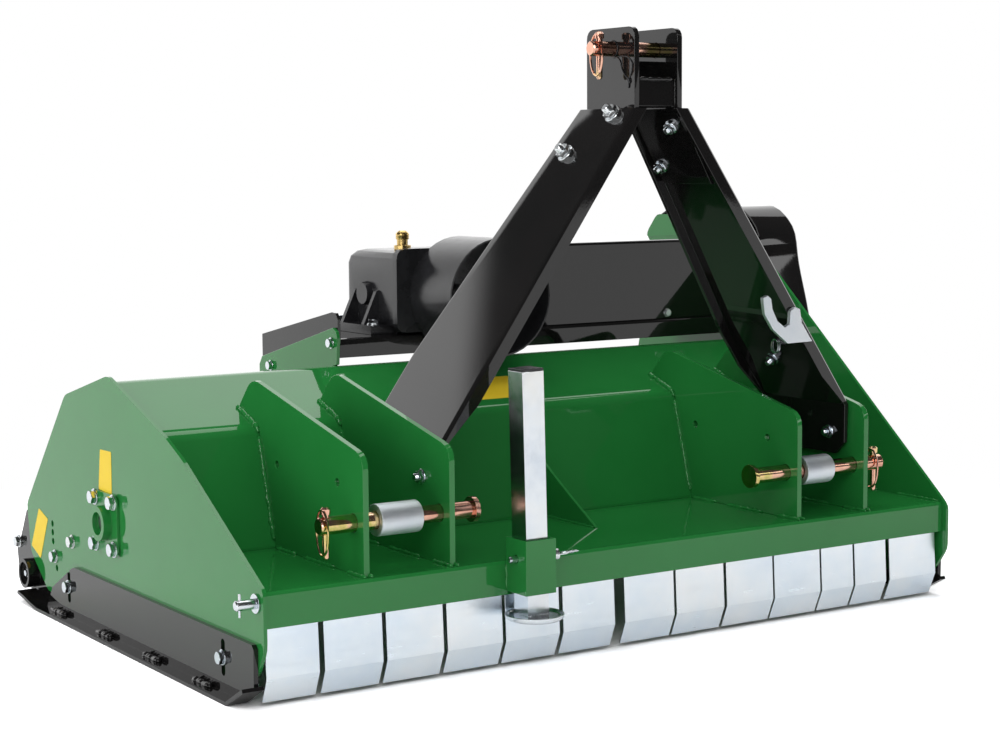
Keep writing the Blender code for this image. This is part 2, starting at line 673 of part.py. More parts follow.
def input_shaft(mat):
    """Six-spline stub: splined outside the gearbox, plain inside."""
    star = []
    for i in range(24):
        t = 2.0 * math.pi * (i + 0.5) / 24
        r = SPLINE_R if i % 4 in (0, 1) else SPLINE_R - 0.003
        star.append((r * math.cos(t), r * math.sin(t)))
    plain = circle(0, 0, SHAFT_R, 24, math.pi / 24)
    small = circle(0, 0, SPLINE_R - 0.005, 24, math.pi / 24)
    rows = [(0.468, small), (0.472, star), (0.575, star), (0.575, plain), (0.668, plain)]
    bm = bmesh.new()
    loft(bm, [[Vector((INPUT_X + a, y, CROSS_Z + b)) for a, b in loop] for y, loop in rows])
    return node(bm, "input_shaft", mat, (INPUT_X, 0.60, CROSS_Z), smooth=True)


def cross_shaft(mat):
    bm = bmesh.new()
    right_end = PULLEY_X + GROOVES * GROOVE + 0.012
    turned(bm, "X", CROSS_Y, CROSS_Z, [(GEAR_X0 + 0.010, SHAFT_R), (right_end, SHAFT_R)], 20)
    return node(bm, "cross_shaft", mat, (PLATE_X + 0.002, CROSS_Y, CROSS_Z), smooth=True)


def pulley(name, mat, y, z, radius, bore):
    """Grooved wheel, keyed to its shaft."""
    depth = 0.011
    x0 = PULLEY_X
    x1 = PULLEY_X + GROOVES * GROOVE + 0.004
    profile = [(x0, bore), (x0, radius), (x0 + 0.002, radius)]
    for k in range(GROOVES):
        a = x0 + 0.002 + k * GROOVE
        root = radius - depth
        profile += [(a + 0.0045, root), (a + GROOVE - 0.0045, root), (a + GROOVE, radius)]
    profile += [(x1, radius), (x1, bore)]
    bm = bmesh.new()
    ring(bm, "X", y, z, profile, 26)
    return node(bm, name, mat, (x0 + 0.028, y, z), smooth=True)


def belt_path(offset):
    """Points around both pulleys at a given offset from their rims."""
    big = Vector((CROSS_Y, CROSS_Z))
    small = Vector((ROTOR_Y, ROTOR_Z))
    ra, rb = DRIVE_R + offset, DRIVEN_R + offset
    line = big - small
    angle = math.atan2(line.y, line.x)
    spread = math.acos((rb - ra) / line.length)
    points = []
    for i in range(13):
        t = angle - spread + 2.0 * spread * i / 12
        points.append((big, ra, t))
    for i in range(13):
        t = angle + spread + (2.0 * math.pi - 2.0 * spread) * i / 12
        points.append((small, rb, t))
    return [(c.x + r * math.cos(t), c.y + r * math.sin(t)) for c, r, t in points]


def drive_belt(mat):
    """Banded belt: three wedge ribs under one backing band."""
    rings = [belt_path(offset) for offset in (0.0048, 0.0014, -0.0080)]
    bm = bmesh.new()
    rows = []
    first = PULLEY_X + 0.002
    for (yt, zt), (yo, zo), (yi, zi) in zip(*rings):
        row = [Vector((first + 0.0006, yt, zt)), Vector((first + GROOVES * GROOVE - 0.0006, yt, zt))]
        for k in reversed(range(GROOVES)):
            a = first + k * GROOVE
            row += [Vector((a + GROOVE - 0.0006, yo, zo)), Vector((a + GROOVE - 0.0040, yi, zi)),
                    Vector((a + 0.0040, yi, zi)), Vector((a + 0.0006, yo, zo))]
        rows.append(row)
    hoop(bm, rows)
    return node(bm, "drive_belt", mat, smooth=True)


COVER_OUTLINE = [(0.478, 0.165), (0.455, 0.230), (0.4795, 0.482), (0.518, 0.600),
                 (0.527, 0.665), (0.581, 0.711), (0.790, 0.711), (0.866, 0.690), (0.866, 0.570),
                 (0.835, 0.480), (0.690, 0.240), (0.678, 0.160), (0.632, 0.112), (0.580, 0.100),
                 (0.526, 0.112)]


def pulled_in(outline, depth):
    """Outline moved inward by the same depth on every side."""
    result = []
    for i, p in enumerate(outline):
        a = (Vector(p) - Vector(outline[i - 1])).normalized()
        b = (Vector(outline[(i + 1) % len(outline)]) - Vector(p)).normalized()
        normal = (Vector((a.y, -a.x)) + Vector((b.y, -b.x))).normalized()
        result.append(tuple(Vector(p) + normal * depth))
    return result


def belt_cover(mat):
    outline = rounded(COVER_OUTLINE, 0.040, 3)
    rows = [(PLATE_X + GAP, outline), (COVER_X - 0.008, outline),
            (COVER_X - 0.002, pulled_in(outline, 0.003)), (COVER_X, pulled_in(outline, 0.008))]
    bm = bmesh.new()
    loft(bm, [[Vector((x, *p)) for p in loop] for x, loop in rows])
    obj = node(bm, "belt_cover", mat)
    hollow = bmesh.new()
    prism(hollow, pulled_in(outline, COVER_T), "X", PLATE_X - 0.01, COVER_X - COVER_T - 0.004)
    tool(obj, hollow, "DIFFERENCE", "cover_hollow")
    return obj


def cross_beam(mat):
    path = [(XBEAM_FRONT, XBEAM_LOW), (XBEAM_FRONT, XBEAM_TOP), (XBEAM_REAR, XBEAM_TOP),
            (XBEAM_REAR, XBEAM_LOW)]
    outline = strip(rounded(path, 0.006, 2, closed=False), 0.005)
    bm = bmesh.new()
    prism(bm, outline, "X", BRACKET_X + 0.008, PLATE_X - PLATE_T - GAP)
    obj = node(bm, "cross_beam", mat)
    end = [(0.592, XBEAM_LOW + 0.003), (0.576, 0.480), (0.576, 0.524), (0.584, 0.535), (0.598, 0.536),
           (0.880, 0.478), (0.880, 0.425), (0.800, 0.440)]
    plate = bmesh.new()
    prism(plate, end, "X", BRACKET_X + 0.006 + GAP, BRACKET_X + 0.012)
    tool(obj, plate, "UNION", "beam_end")
    return obj


BRACKET_BOLTS = [(0.589, 0.481), (0.832, 0.421)]


def left_bracket(mat):
    lift = GAP * 2
    deck = (DECK_Z - PEAK_Z) / (DECK_Y - PEAK_Y)
    tail = (TAIL_Z - DECK_Z) / (TAIL_Y - DECK_Y)
    bm = bmesh.new()
    outline = [(PEAK_Y + 0.004, PEAK_Z + deck * 0.004 + lift), (0.567, 0.490), (0.572, 0.503),
               (0.584, 0.509), (0.870, 0.436), (0.882, 0.420),
               (0.882, DECK_Z + tail * (0.882 - DECK_Y) + 2 * lift), (DECK_Y + 0.004, DECK_Z + lift)]
    prism(bm, outline, "X", BRACKET_X, BRACKET_X + 0.006)
    obj = node(bm, "left_bracket", mat)
    add_heads(obj, [((BRACKET_X, *p), (-1, 0, 0)) for p in BRACKET_BOLTS], 0.005)
    return obj


def shaft_cover(mat):
    front, rear = XBEAM_FRONT + 0.012, XBEAM_REAR - 0.008
    low = XBEAM_TOP + GAP
    path = [(front, low), (front, SHAFT_COVER_TOP), (rear, SHAFT_COVER_TOP), (rear, low)]
    outline = strip(rounded(path, 0.006, 2, closed=False), 0.003)
    bm = bmesh.new()
    prism(bm, outline, "X", GEAR_X1 + 0.040, PLATE_X - PLATE_T - GAP)
    obj = node(bm, "shaft_cover", mat)
    add_heads(obj, [((x, front, z), (0, -1, 0)) for x, z in COVER_SCREWS], 0.004)
    return obj


COVER_SCREWS = [(0.197, 0.500), (0.516, 0.500)]


def rotor(mat):
    """Tube with stub shafts, lugs and the flails that hang on them."""
    bm = bmesh.new()
    e = ROTOR_END
    right_end = PULLEY_X + GROOVES * GROOVE + 0.010
    profile = [(LEFT_STUB, DRILLING_R), (LEFT_STUB, SHAFT_R), (-e, SHAFT_R), (-e, ROTOR_TUBE_R),
               (e, ROTOR_TUBE_R), (e, SHAFT_R), (right_end, SHAFT_R),
               (right_end, DRILLING_R), (e - 0.012, DRILLING_R), (e - 0.012, ROTOR_TUBE_R - TUBE_WALL),
               (-e + 0.012, ROTOR_TUBE_R - TUBE_WALL), (-e + 0.012, DRILLING_R)]
    ring(bm, "X", ROTOR_Y, ROTOR_Z, profile, 24)
    obj = node(bm, "rotor", mat, (0.0, ROTOR_Y, ROTOR_Z), smooth=True)
    lugs = bmesh.new()
    for k in range(FLAIL_COUNT):
        lug(lugs, *flail_station(k))
    tool(obj, lugs, "UNION", "rotor_lugs")
    for sign, label in ((-1.0, "flails_left"), (1.0, "flails_right")):
        blades = bmesh.new()
        for k in range(FLAIL_COUNT):
            blade(blades, *flail_station(k), sign)
        tool(obj, blades, "UNION", label)
    return obj


def flail_station(k):
    """Place of one flail along the tube and its angle on a double helix."""
    x = FLAIL_REACH * (2 * k / (FLAIL_COUNT - 1) - 1)
    return x, math.radians(90.0 + 112.5 * k)


def lug(bm, x, t):
    radial = Vector((0.0, math.cos(t), math.sin(t)))
    side = Vector((0.0, -math.sin(t), math.cos(t)))
    centre = Vector((x, ROTOR_Y, ROTOR_Z))
    rows = []
    for r in (ROTOR_TUBE_R - 0.004, ROTOR_TUBE_R + 0.036):
        rows.append([centre + radial * r + side * (s * 0.016) + Vector((a * 0.004, 0.0, 0.0))
                     for s, a in ((-1, -1), (1, -1), (1, 1), (-1, 1))])
    loft(bm, rows)


def blade(bm, x, t, sign):
    """One bent flail blade on one side of its lug."""
    radial = Vector((0.0, math.cos(t), math.sin(t)))
    side = Vector((0.0, -math.sin(t), math.cos(t)))
    centre = Vector((x, ROTOR_Y, ROTOR_Z))
    root = ROTOR_TUBE_R + 0.008
    path = [(0.0030, root), (0.0030, 0.118), (0.030, FLAIL_R), (0.036, FLAIL_R - 0.004),
            (0.0100, 0.116), (0.0100, root)]
    rows = []
    for s in (-0.018, 0.018):
        rows.append([centre + Vector((sign * a, 0, 0)) + radial * r + side * s for a, r in path])
    loft(bm, rows)


def bearing(name, mat, y, z, sign, reach):
    """Flanged bearing housing on the outside of a side plate, with its four bolts."""
    bm = bmesh.new()
    half = BEARING_PITCH + 0.012
    outline = rounded([(y - half, z - half), (y + half, z - half), (y + half, z + half),
                       (y - half, z + half)], 0.022, 3)
    face = sign * (PLATE_X + FLANGE_T)
    prism(bm, outline, "X", *sorted((sign * (PLATE_X + GAP), face)))
    obj = node(bm, name, mat)
    tube = bmesh.new()
    lo, hi = sorted((sign * (PLATE_X + FLANGE_T / 2), sign * reach))
    turned(tube, "X", y, z, [(lo, BARREL_R), (hi, BARREL_R)], 24)
    tool(obj, tube, "UNION", "barrel_" + name)
    lo, hi = sorted((sign * (PLATE_X - 0.02), sign * (PLATE_X + 0.06)))
    drill(obj, "X", [(y, z, SHAFT_R + BORE_PLAY)], lo, hi, 20)
    if sign < 0:
        mouth = bmesh.new()
        cylinder(mouth, "X", y, z, BARREL_R - 0.0105, -reach - 0.02, LEFT_STUB - 0.0005, 24)
        tool(obj, mouth, "DIFFERENCE", "mouth_" + name)
        add_heads(obj, [((face, *p), (sign, 0, 0)) for p in bearing_points(y, z)], 0.0068)
    return obj


def skid(name, mat, sign, outer):
    """Side shoe: upright plate with two height slots on a turned-up sole."""
    top, low = SKID_TOP, 0.003
    plate = [(0.058, low), (0.015, 0.028), (0.014, top - 0.006), (0.020, top), (0.724, top),
             (0.735, 0.094), (0.829, 0.045), (0.860, low)]
    face = sign * (PLATE_X + SKID_T)
    bm = bmesh.new()
    prism(bm, plate, "X", *sorted((sign * (PLATE_X + GAP), face)))
    obj = node(bm, name, mat)
    path = [(0.004, 0.0320), (0.062, 0.0), (0.850, 0.0), (0.880, 0.004), (0.915, 0.011), (0.948, 0.0155)]
    sole = bmesh.new()
    x0, x1 = sorted((sign * (PLATE_X - 0.004), outer))
    prism(sole, strip(list(reversed(path)), SOLE_T), "X", x0, x1)
    tool(obj, sole, "UNION", "sole_" + name)
    slots = bmesh.new()
    x0, x1 = sorted((sign * (PLATE_X - 0.02), sign * (PLATE_X + 0.03)))
    for y, z in SKID_BOLTS:
        turns = [math.pi * (k + 0.5) / 6.0 for k in range(12)]
        slot = [(y + 0.0068 * math.cos(t), z + math.copysign(0.022, math.sin(t)) + 0.0068 * math.sin(t))
                for t in turns]
        prism(slots, slot, "X", x0, x1)
    tool(obj, slots, "DIFFERENCE", "slots_" + name)
    add_heads(obj, [((face, *p), (sign, 0, 0)) for p in SKID_BOLTS])
    return obj


ARM_REAR = 1.047
ARM_OUTLINE = [(0.700, 0.110), (0.700, 0.150), (0.718, 0.168), (0.860, 0.180), (0.942, 0.176),
               (0.954, 0.168), (ARM_REAR - 0.057, 0.1625), (ARM_REAR - 0.024, 0.110), (ARM_REAR, 0.0875),
               (ARM_REAR - 0.007, 0.044), (ARM_REAR - 0.047, 0.020), (0.945, 0.010), (0.850, 0.005)]


def roller_arm(name, mat, sign):
    bm = bmesh.new()
    inner = PLATE_X - PLATE_T - GAP
    x0, x1 = sorted((sign * (inner - 0.006), sign * inner))
    prism(bm, ARM_OUTLINE, "X", x0, x1)
    obj = node(bm, name, mat)
    cup = bmesh.new()
    x0, x1 = sorted((sign * (inner - 0.003), sign * (PLATE_X + 0.016)))
    turned(cup, "X", ROLLER_Y, ROLLER_Z, [(x0, CUP_R), (x1, CUP_R)], 24)
    tool(obj, cup, "UNION", "cup_" + name)
    holes = [(ROLLER_Y, ROLLER_Z, ROLLER_STUB_R + BORE_PLAY), (ARM_REAR - 0.019, 0.096, 0.006)]
    x0, x1 = sorted((sign * (inner - 0.03), sign * (PLATE_X + 0.05)))
    drill(obj, "X", holes, x0, x1, 20)
    mouth = bmesh.new()
    x0, x1 = sorted((sign * (PLATE_X + 0.0095), sign * (PLATE_X + 0.05)))
    cylinder(mouth, "X", ROLLER_Y, ROLLER_Z, CUP_R - 0.0065, x0, x1, 20)
    tool(obj, mouth, "DIFFERENCE", "mouth_" + name)
    return obj


def rear_roller(mat):
    bm = bmesh.new()
    e = ROLLER_END
    reach = PLATE_X + 0.008
    stub, inner = ROLLER_STUB_R, ROLLER_R - ROLLER_WALL
    profile = [(-reach, DRILLING_R), (-reach, stub), (-e, stub), (-e, ROLLER_R), (e, ROLLER_R),
               (e, stub), (reach, stub), (reach, DRILLING_R), (e - 0.010, DRILLING_R),
               (e - 0.010, inner), (-e + 0.010, inner), (-e + 0.010, DRILLING_R)]
    ring(bm, "X", ROLLER_Y, ROLLER_Z, profile, 28)
    return node(bm, "rear_roller", mat, (0.0, ROLLER_Y, ROLLER_Z), smooth=True)


def flap_rod(mat):
    """Hinge rod: washer and split pin on the left, flat head on the right."""
    near, far = PLATE_X + GAP, PLATE_X + 0.003
    washer = 0.015
    profile = [(-ROD_END, ROD_R - 0.002), (-ROD_END + 0.002, ROD_R), (-far, ROD_R), (-far, washer),
               (-near, washer), (-near, ROD_R), (near, ROD_R), (near, washer), (far, washer)]
    bm = bmesh.new()
    turned(bm, "X", ROD_Y, ROD_Z, profile, 16)
    obj = node(bm, "flap_rod", mat, smooth=True)
    pin = bmesh.new()
    cylinder(pin, "Z", -ROD_END + 0.008, ROD_Y, 0.0022, ROD_Z - ROD_R - 0.010, ROD_Z + ROD_R + 0.010, 8)
    tool(obj, pin, "UNION", "split_pin")
    return obj


def flap(index, mat, left, right):
    """Hinged plate: a loop around the rod, a flat face and a lower lip turned inward."""
    inner = PLATE_X - PLATE_T
    x0 = left[0] * inner + left[1] / 2
    x1 = right[0] * inner - right[1] / 2
    loop_r = ROD_R + RUN + FLAP_T
    path = [(0.021, 0.0075), (0.005, 0.046), (0.009, 0.118)]
    start = math.radians(188.0)
    arc = []
    for k in range(14):
        t = start - math.radians(305.0) * k / 13.0
        arc.append((ROD_Y + loop_r * math.cos(t), ROD_Z + loop_r * math.sin(t)))
    outline = strip(path + arc, FLAP_T)
    bm = bmesh.new()
    prism(bm, outline, "X", x0, x1)
    return node(bm, "flap_%02d" % index, mat, ((x0 + x1) / 2, ROD_Y, ROD_Z))


def square_tube(bm, half, wall, low, high):
    rows = []
    for i in range(4):
        a, b = ((-1, -1), (1, -1), (1, 1), (-1, 1))[i]
        rows.append([Vector((a * (half - wall), b * (half - wall), low)),
                     Vector((a * half, b * half, low)), Vector((a * half, b * half, high)),
                     Vector((a * (half - wall), b * (half - wall), high))])
    hoop(bm, rows)


def jack(green, zinc, plastic):
    bm = bmesh.new()
    square_tube(bm, SLEEVE_HALF, SLEEVE_WALL, SLEEVE_LOW, SLEEVE_TOP)
    bmesh.ops.translate(bm, verts=bm.verts, vec=(JACK_X, JACK_Y, 0.0))
    obj = node(bm, "jack_sleeve", green)
    drill(obj, "X", [(JACK_Y, JACK_PIN_Z, JACK_PIN_R + PIN_PLAY)], JACK_X - 0.05, JACK_X + 0.05)
    pivot = (JACK_X - 0.0015, JACK_Y, JACK_PIN_Z)
    lean = (0.0, -LEG_LEAN, 0.0)
    bm = bmesh.new()
    square_tube(bm, LEG_HALF, LEG_WALL, LEG_LOW - JACK_PIN_Z, LEG_TOP - JACK_PIN_Z)
    leg = node(bm, "jack_leg", zinc, turn=lean)
    leg.location = pivot
    foot = bmesh.new()
    floor = LEG_LOW - 0.0045
    dish = [(floor, FOOT_R - 0.006), (floor + 0.003, FOOT_R - 0.001), (floor + 0.006, FOOT_R),
            (floor + 0.0095, FOOT_R), (floor + 0.0095, FOOT_R - 0.0025), (floor + 0.006, FOOT_R - 0.005)]
    turned(foot, "Z", FOOT_X, FOOT_Y, dish, 32)
    tool(leg, foot, "UNION", "jack_foot")
    cut = bmesh.new()
    cylinder(cut, "X", JACK_Y, JACK_PIN_Z, JACK_PIN_R + 2 * PIN_PLAY, JACK_X - 0.05, JACK_X + 0.05, 16)
    tool(leg, cut, "DIFFERENCE", "hole_jack_leg")
    bm = bmesh.new()
    top = LEG_TOP - JACK_PIN_Z
    box(bm, -LEG_HALF, LEG_HALF, -LEG_HALF, LEG_HALF, top + GAP, top + 0.004)
    cap = node(bm, "jack_cap", plastic, turn=lean)
    cap.location = pivot
    bm = bmesh.new()
    turned(bm, "X", JACK_Y, JACK_PIN_Z, [(JACK_X - 0.042, JACK_PIN_R - 0.002), (JACK_X - 0.038, JACK_PIN_R),
                                         (JACK_X + 0.040, JACK_PIN_R), (JACK_X + 0.040, 0.009),
                                         (JACK_X + 0.050, 0.009)], 16)
    pin = node(bm, "jack_pin", zinc, (JACK_X, JACK_Y, JACK_PIN_Z), smooth=True)
    loop = bmesh.new()
    torus(loop, (JACK_X + 0.068, JACK_Y, JACK_PIN_Z), (0, 0.3, 1), 0.0195, 0.0018, 20, 6)
    tool(pin, loop, "UNION", "pull_ring")
    return pin


def pto_hook(mat):
    """Plate hook in front of the right mast bar that carries the parked driveline."""
    outline = [(0.352, 0.486), (0.318, 0.512), (0.299, 0.540), (0.295, 0.568), (0.305, 0.572),
               (0.313, 0.566), (0.316, 0.548), (0.328, 0.526), (0.345, 0.5145), (0.356, 0.520),
               (0.358, 0.543), (0.368, 0.549), (0.379, 0.545), (0.384, 0.520), (0.408, 0.487)]
    bm = bmesh.new()
    prism(bm, outline, "Y", BAR_FRONT - 0.0085, BAR_FRONT - GAP)
    return node(bm, "pto_hook", mat)


def main():
    clear_scene()
    green = material("green_paint", (0.020, 0.130, 0.045), 0.30, 0.0)
    black = material("black_paint", (0.015, 0.015, 0.017), 0.32, 0.0)
    casting = material("cast_black", (0.020, 0.020, 0.022), 0.45, 0.0)
    zinc = material("zinc_plate", (0.60, 0.64, 0.68), 0.30, 1.0)
    yellow_zinc = material("yellow_zinc", (0.72, 0.45, 0.16), 0.32, 1.0)
    steel = material("dark_steel", (0.30, 0.30, 0.31), 0.40, 1.0)
    plastic = material("black_plastic", (0.02, 0.02, 0.02), 0.50, 0.0)
    rubber = material("belt_rubber", (0.03, 0.03, 0.03), 0.70, 0.0)
    brass = material("brass", (0.70, 0.50, 0.20), 0.35, 1.0)

    front_beam(green)
    housing_shell(green)
    side_plate_left(green)
    side_plate_right(green)
    for index, x in enumerate(HITCH_X, 1):
        hitch_plate(index, green, x)
    gusset_rib(green)
    mast_bar("mast_bar_left", black, True)
    mast_bar("mast_bar_right", black, False)
    top_bracket(black)
    hitch_pins(yellow_zinc, zinc)
    gearbox_housing(casting)
    oil_breather(brass)
    pto_guard(plastic)
    input_shaft(steel)
    cross_shaft(steel)
    pulley("drive_pulley", steel, CROSS_Y, CROSS_Z, DRIVE_R, SHAFT_R + GAP)
    pulley("rotor_pulley", steel, ROTOR_Y, ROTOR_Z, DRIVEN_R, SHAFT_R + GAP)
    drive_belt(rubber)
    belt_cover(black)
    cross_beam(black)
    left_bracket(green)
    shaft_cover(black)
    rotor(steel)
    bearing("rotor_bearing_left", green, ROTOR_Y, ROTOR_Z, -1.0, BARREL_X)
    bearing("rotor_bearing_right", green, ROTOR_Y, ROTOR_Z, 1.0, PLATE_X + 0.018)
    bearing("cross_shaft_bearing", green, CROSS_Y, CROSS_Z, 1.0, PLATE_X + 0.018)
    skid("skid_left", black, -1.0, SOLE_LEFT)
    skid("skid_right", black, 1.0, SOLE_RIGHT)
    roller_arm("roller_arm_left", black, -1.0)
    roller_arm("roller_arm_right", black, 1.0)
    rear_roller(black)
    flap_rod(zinc)
    for index, (left, right) in enumerate(zip(FLAP_JOINTS, FLAP_JOINTS[1:]), 1):
        flap(index, zinc, left, right)
    jack(green, zinc, plastic)
    pto_hook(zinc)


main()
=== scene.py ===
"""Studio picture of a green tractor mulcher, dressed over its fixed model.

Positions are in metres. The helper at() takes a point counted from the front face of the
front beam, as the drawing does, and gives it in the model's own frame.
"""

import json
import math

import bmesh
import bpy
from mathutils import Matrix, Vector, noise


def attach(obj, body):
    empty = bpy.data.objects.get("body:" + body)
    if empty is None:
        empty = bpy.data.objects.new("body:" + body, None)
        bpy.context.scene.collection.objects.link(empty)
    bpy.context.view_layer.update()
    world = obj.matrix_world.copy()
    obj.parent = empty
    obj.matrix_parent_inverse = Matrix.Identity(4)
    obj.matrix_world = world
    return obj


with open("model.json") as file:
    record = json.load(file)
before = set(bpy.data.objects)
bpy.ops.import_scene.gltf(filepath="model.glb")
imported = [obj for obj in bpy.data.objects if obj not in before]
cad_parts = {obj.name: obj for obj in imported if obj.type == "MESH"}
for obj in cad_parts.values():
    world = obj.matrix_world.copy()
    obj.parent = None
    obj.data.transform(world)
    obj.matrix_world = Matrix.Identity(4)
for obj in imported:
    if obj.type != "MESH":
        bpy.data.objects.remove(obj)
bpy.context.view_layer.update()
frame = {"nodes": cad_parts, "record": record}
NODES = frame["nodes"]
ORIGIN = Vector((0.0335, 0.4784, 0.0))
EDGE_BEVEL = 0.0008
JOIN_DISTANCE = 0.00001


def at(x, y, z):
    """Point of the drawing in the model's own frame."""
    return Vector((x, y, z)) - ORIGIN


# Materials


def new_material(name):
    """Material, its node tree and its surface shader."""
    mat = bpy.data.materials.new(name)
    mat.use_nodes = True
    return mat, mat.node_tree, mat.node_tree.nodes["Principled BSDF"]


def noise_node(tree, scale, detail=3.0, stretch=(1, 1, 1), rough=0.5):
    """Noise over the piece's own coordinates, stretched along its axes."""
    coord = tree.nodes.new("ShaderNodeTexCoord")
    mapping = tree.nodes.new("ShaderNodeMapping")
    mapping.inputs["Scale"].default_value = stretch
    tex = tree.nodes.new("ShaderNodeTexNoise")
    tex.inputs["Scale"].default_value = scale
    tex.inputs["Detail"].default_value = detail
    tex.inputs["Roughness"].default_value = rough
    tree.links.new(coord.outputs["Object"], mapping.inputs["Vector"])
    tree.links.new(mapping.outputs["Vector"], tex.inputs["Vector"])
    return tex.outputs["Fac"]


def ramp(tree, fac, stops):
    """Colour of a factor between (place, colour) stops."""
    node = tree.nodes.new("ShaderNodeValToRGB")
    elements = node.color_ramp.elements
    while len(elements) > 1:
        elements.remove(elements[-1])
    elements[0].position = stops[0][0]
    elements[0].color = (*stops[0][1], 1.0)
    for place, colour in stops[1:]:
        element = elements.new(place)
        element.color = (*colour, 1.0)
    tree.links.new(fac, node.inputs["Fac"])
    return node.outputs["Color"]


def spread(tree, fac, low, high):
    """Factor from 0 to 1 turned into a range."""
    node = tree.nodes.new("ShaderNodeMapRange")
    node.inputs["To Min"].default_value = low
    node.inputs["To Max"].default_value = high
    tree.links.new(fac, node.inputs["Value"])
    return node.outputs["Result"]


def bump(tree, shader, fac, strength, distance):
    """Fine relief in the shading."""
    node = tree.nodes.new("ShaderNodeBump")
    node.inputs["Strength"].default_value = strength
    node.inputs["Distance"].default_value = distance
    tree.links.new(fac, node.inputs["Height"])
    tree.links.new(node.outputs["Normal"], shader.inputs["Normal"])


def paint(name, dark, light, rough=(0.025, 0.050), wave=0.025):
    """Gloss paint in one layer: slow colour drift and a faint orange peel."""
    mat, tree, shader = new_material(name)
    drift = noise_node(tree, 5.0, 4.0)
    tree.links.new(ramp(tree, drift, [(0.3, dark), (0.7, light)]), shader.inputs["Base Color"])
    tree.links.new(spread(tree, noise_node(tree, 14.0, 5.0), *rough), shader.inputs["Roughness"])
    bump(tree, shader, noise_node(tree, 240.0, 2.0), wave, 0.0004)
    return mat


def plated(name, stops, rough=(0.16, 0.30), scale=9.0, grain=(1, 1, 1)):
    """Plated steel: cloudy colour and fine rolling grain."""
    mat, tree, shader = new_material(name)
    cloud = noise_node(tree, scale, 6.0, (1, 1, 1), 0.6)
    tree.links.new(ramp(tree, cloud, stops), shader.inputs["Base Color"])
    shader.inputs["Metallic"].default_value = 1.0
    tree.links.new(spread(tree, noise_node(tree, 60.0, 4.0, grain), *rough),
                   shader.inputs["Roughness"])
    bump(tree, shader, noise_node(tree, 300.0, 3.0, grain), 0.12, 0.0003)
    return mat


def rough_stuff(name, dark, light, rough, grain_scale, strength):
    """Casting, plastic or rubber with a fine texture."""
    mat, tree, shader = new_material(name)
    tree.links.new(ramp(tree, noise_node(tree, 30.0, 5.0), [(0.3, dark), (0.7, light)]),
                   shader.inputs["Base Color"])
    tree.links.new(spread(tree, noise_node(tree, 50.0, 4.0), *rough), shader.inputs["Roughness"])
    bump(tree, shader, noise_node(tree, grain_scale, 4.0), strength, 0.0006)
    return mat


GREEN = paint("green_gloss", (0.015, 0.180, 0.034), (0.020, 0.205, 0.042))
BLACK = paint("black_gloss", (0.006, 0.006, 0.006), (0.010, 0.009, 0.009))
CASTING = rough_stuff("painted_casting", (0.010, 0.010, 0.011), (0.020, 0.020, 0.022),
                      (0.16, 0.26), 260.0, 0.20)
PLASTIC = rough_stuff("guard_plastic", (0.012, 0.012, 0.013), (0.020, 0.020, 0.022),
                      (0.18, 0.28), 500.0, 0.10)
RUBBER = rough_stuff("belt_rubber", (0.015, 0.015, 0.015), (0.03, 0.03, 0.03),
                     (0.6, 0.8), 300.0, 0.3)
ZINC = plated("bright_zinc", [(0.25, (0.56, 0.62, 0.70)), (0.5, (0.72, 0.76, 0.80)),
                              (0.75, (0.80, 0.80, 0.78))])
FLAP_ZINC = plated("rolled_zinc", [(0.25, (0.72, 0.82, 0.93)), (0.5, (0.83, 0.90, 0.96)),
                                   (0.75, (0.93, 0.95, 0.96))], (0.22, 0.40), 6.0, (0.3, 1, 3))
TUBE_ZINC = plated("cut_tube_zinc", [(0.3, (0.70, 0.76, 0.82)), (0.7, (0.86, 0.88, 0.90))],
                   (0.50, 0.62), 8.0)
YELLOW_ZINC = plated("yellow_zinc", [(0.36, (0.66, 0.33, 0.24)), (0.50, (0.78, 0.46, 0.34)),
                                     (0.57, (0.72, 0.55, 0.24)), (0.64, (0.50, 0.46, 0.13)),
                                     (0.72, (0.74, 0.42, 0.28))], (0.10, 0.22), 14.0)
STEEL = plated("machined_steel", [(0.3, (0.30, 0.30, 0.31)), (0.7, (0.42, 0.42, 0.43))],
               (0.28, 0.45), 20.0)
BRASS = plated("breather_brass", [(0.3, (0.62, 0.42, 0.14)), (0.7, (0.80, 0.58, 0.24))],
               (0.2, 0.36), 40.0)
YELLOW = paint("plain_yellow", (0.80, 0.56, 0.01), (0.86, 0.62, 0.02), (0.45, 0.55), 0.02)

FINISH = {
    "green_paint": GREEN, "black_paint": BLACK, "black_casting": CASTING, "zinc_plate": ZINC,
    "yellow_zinc": YELLOW_ZINC, "dark_steel": STEEL, "black_plastic": PLASTIC,
    "belt_rubber": RUBBER, "brass": BRASS,
}


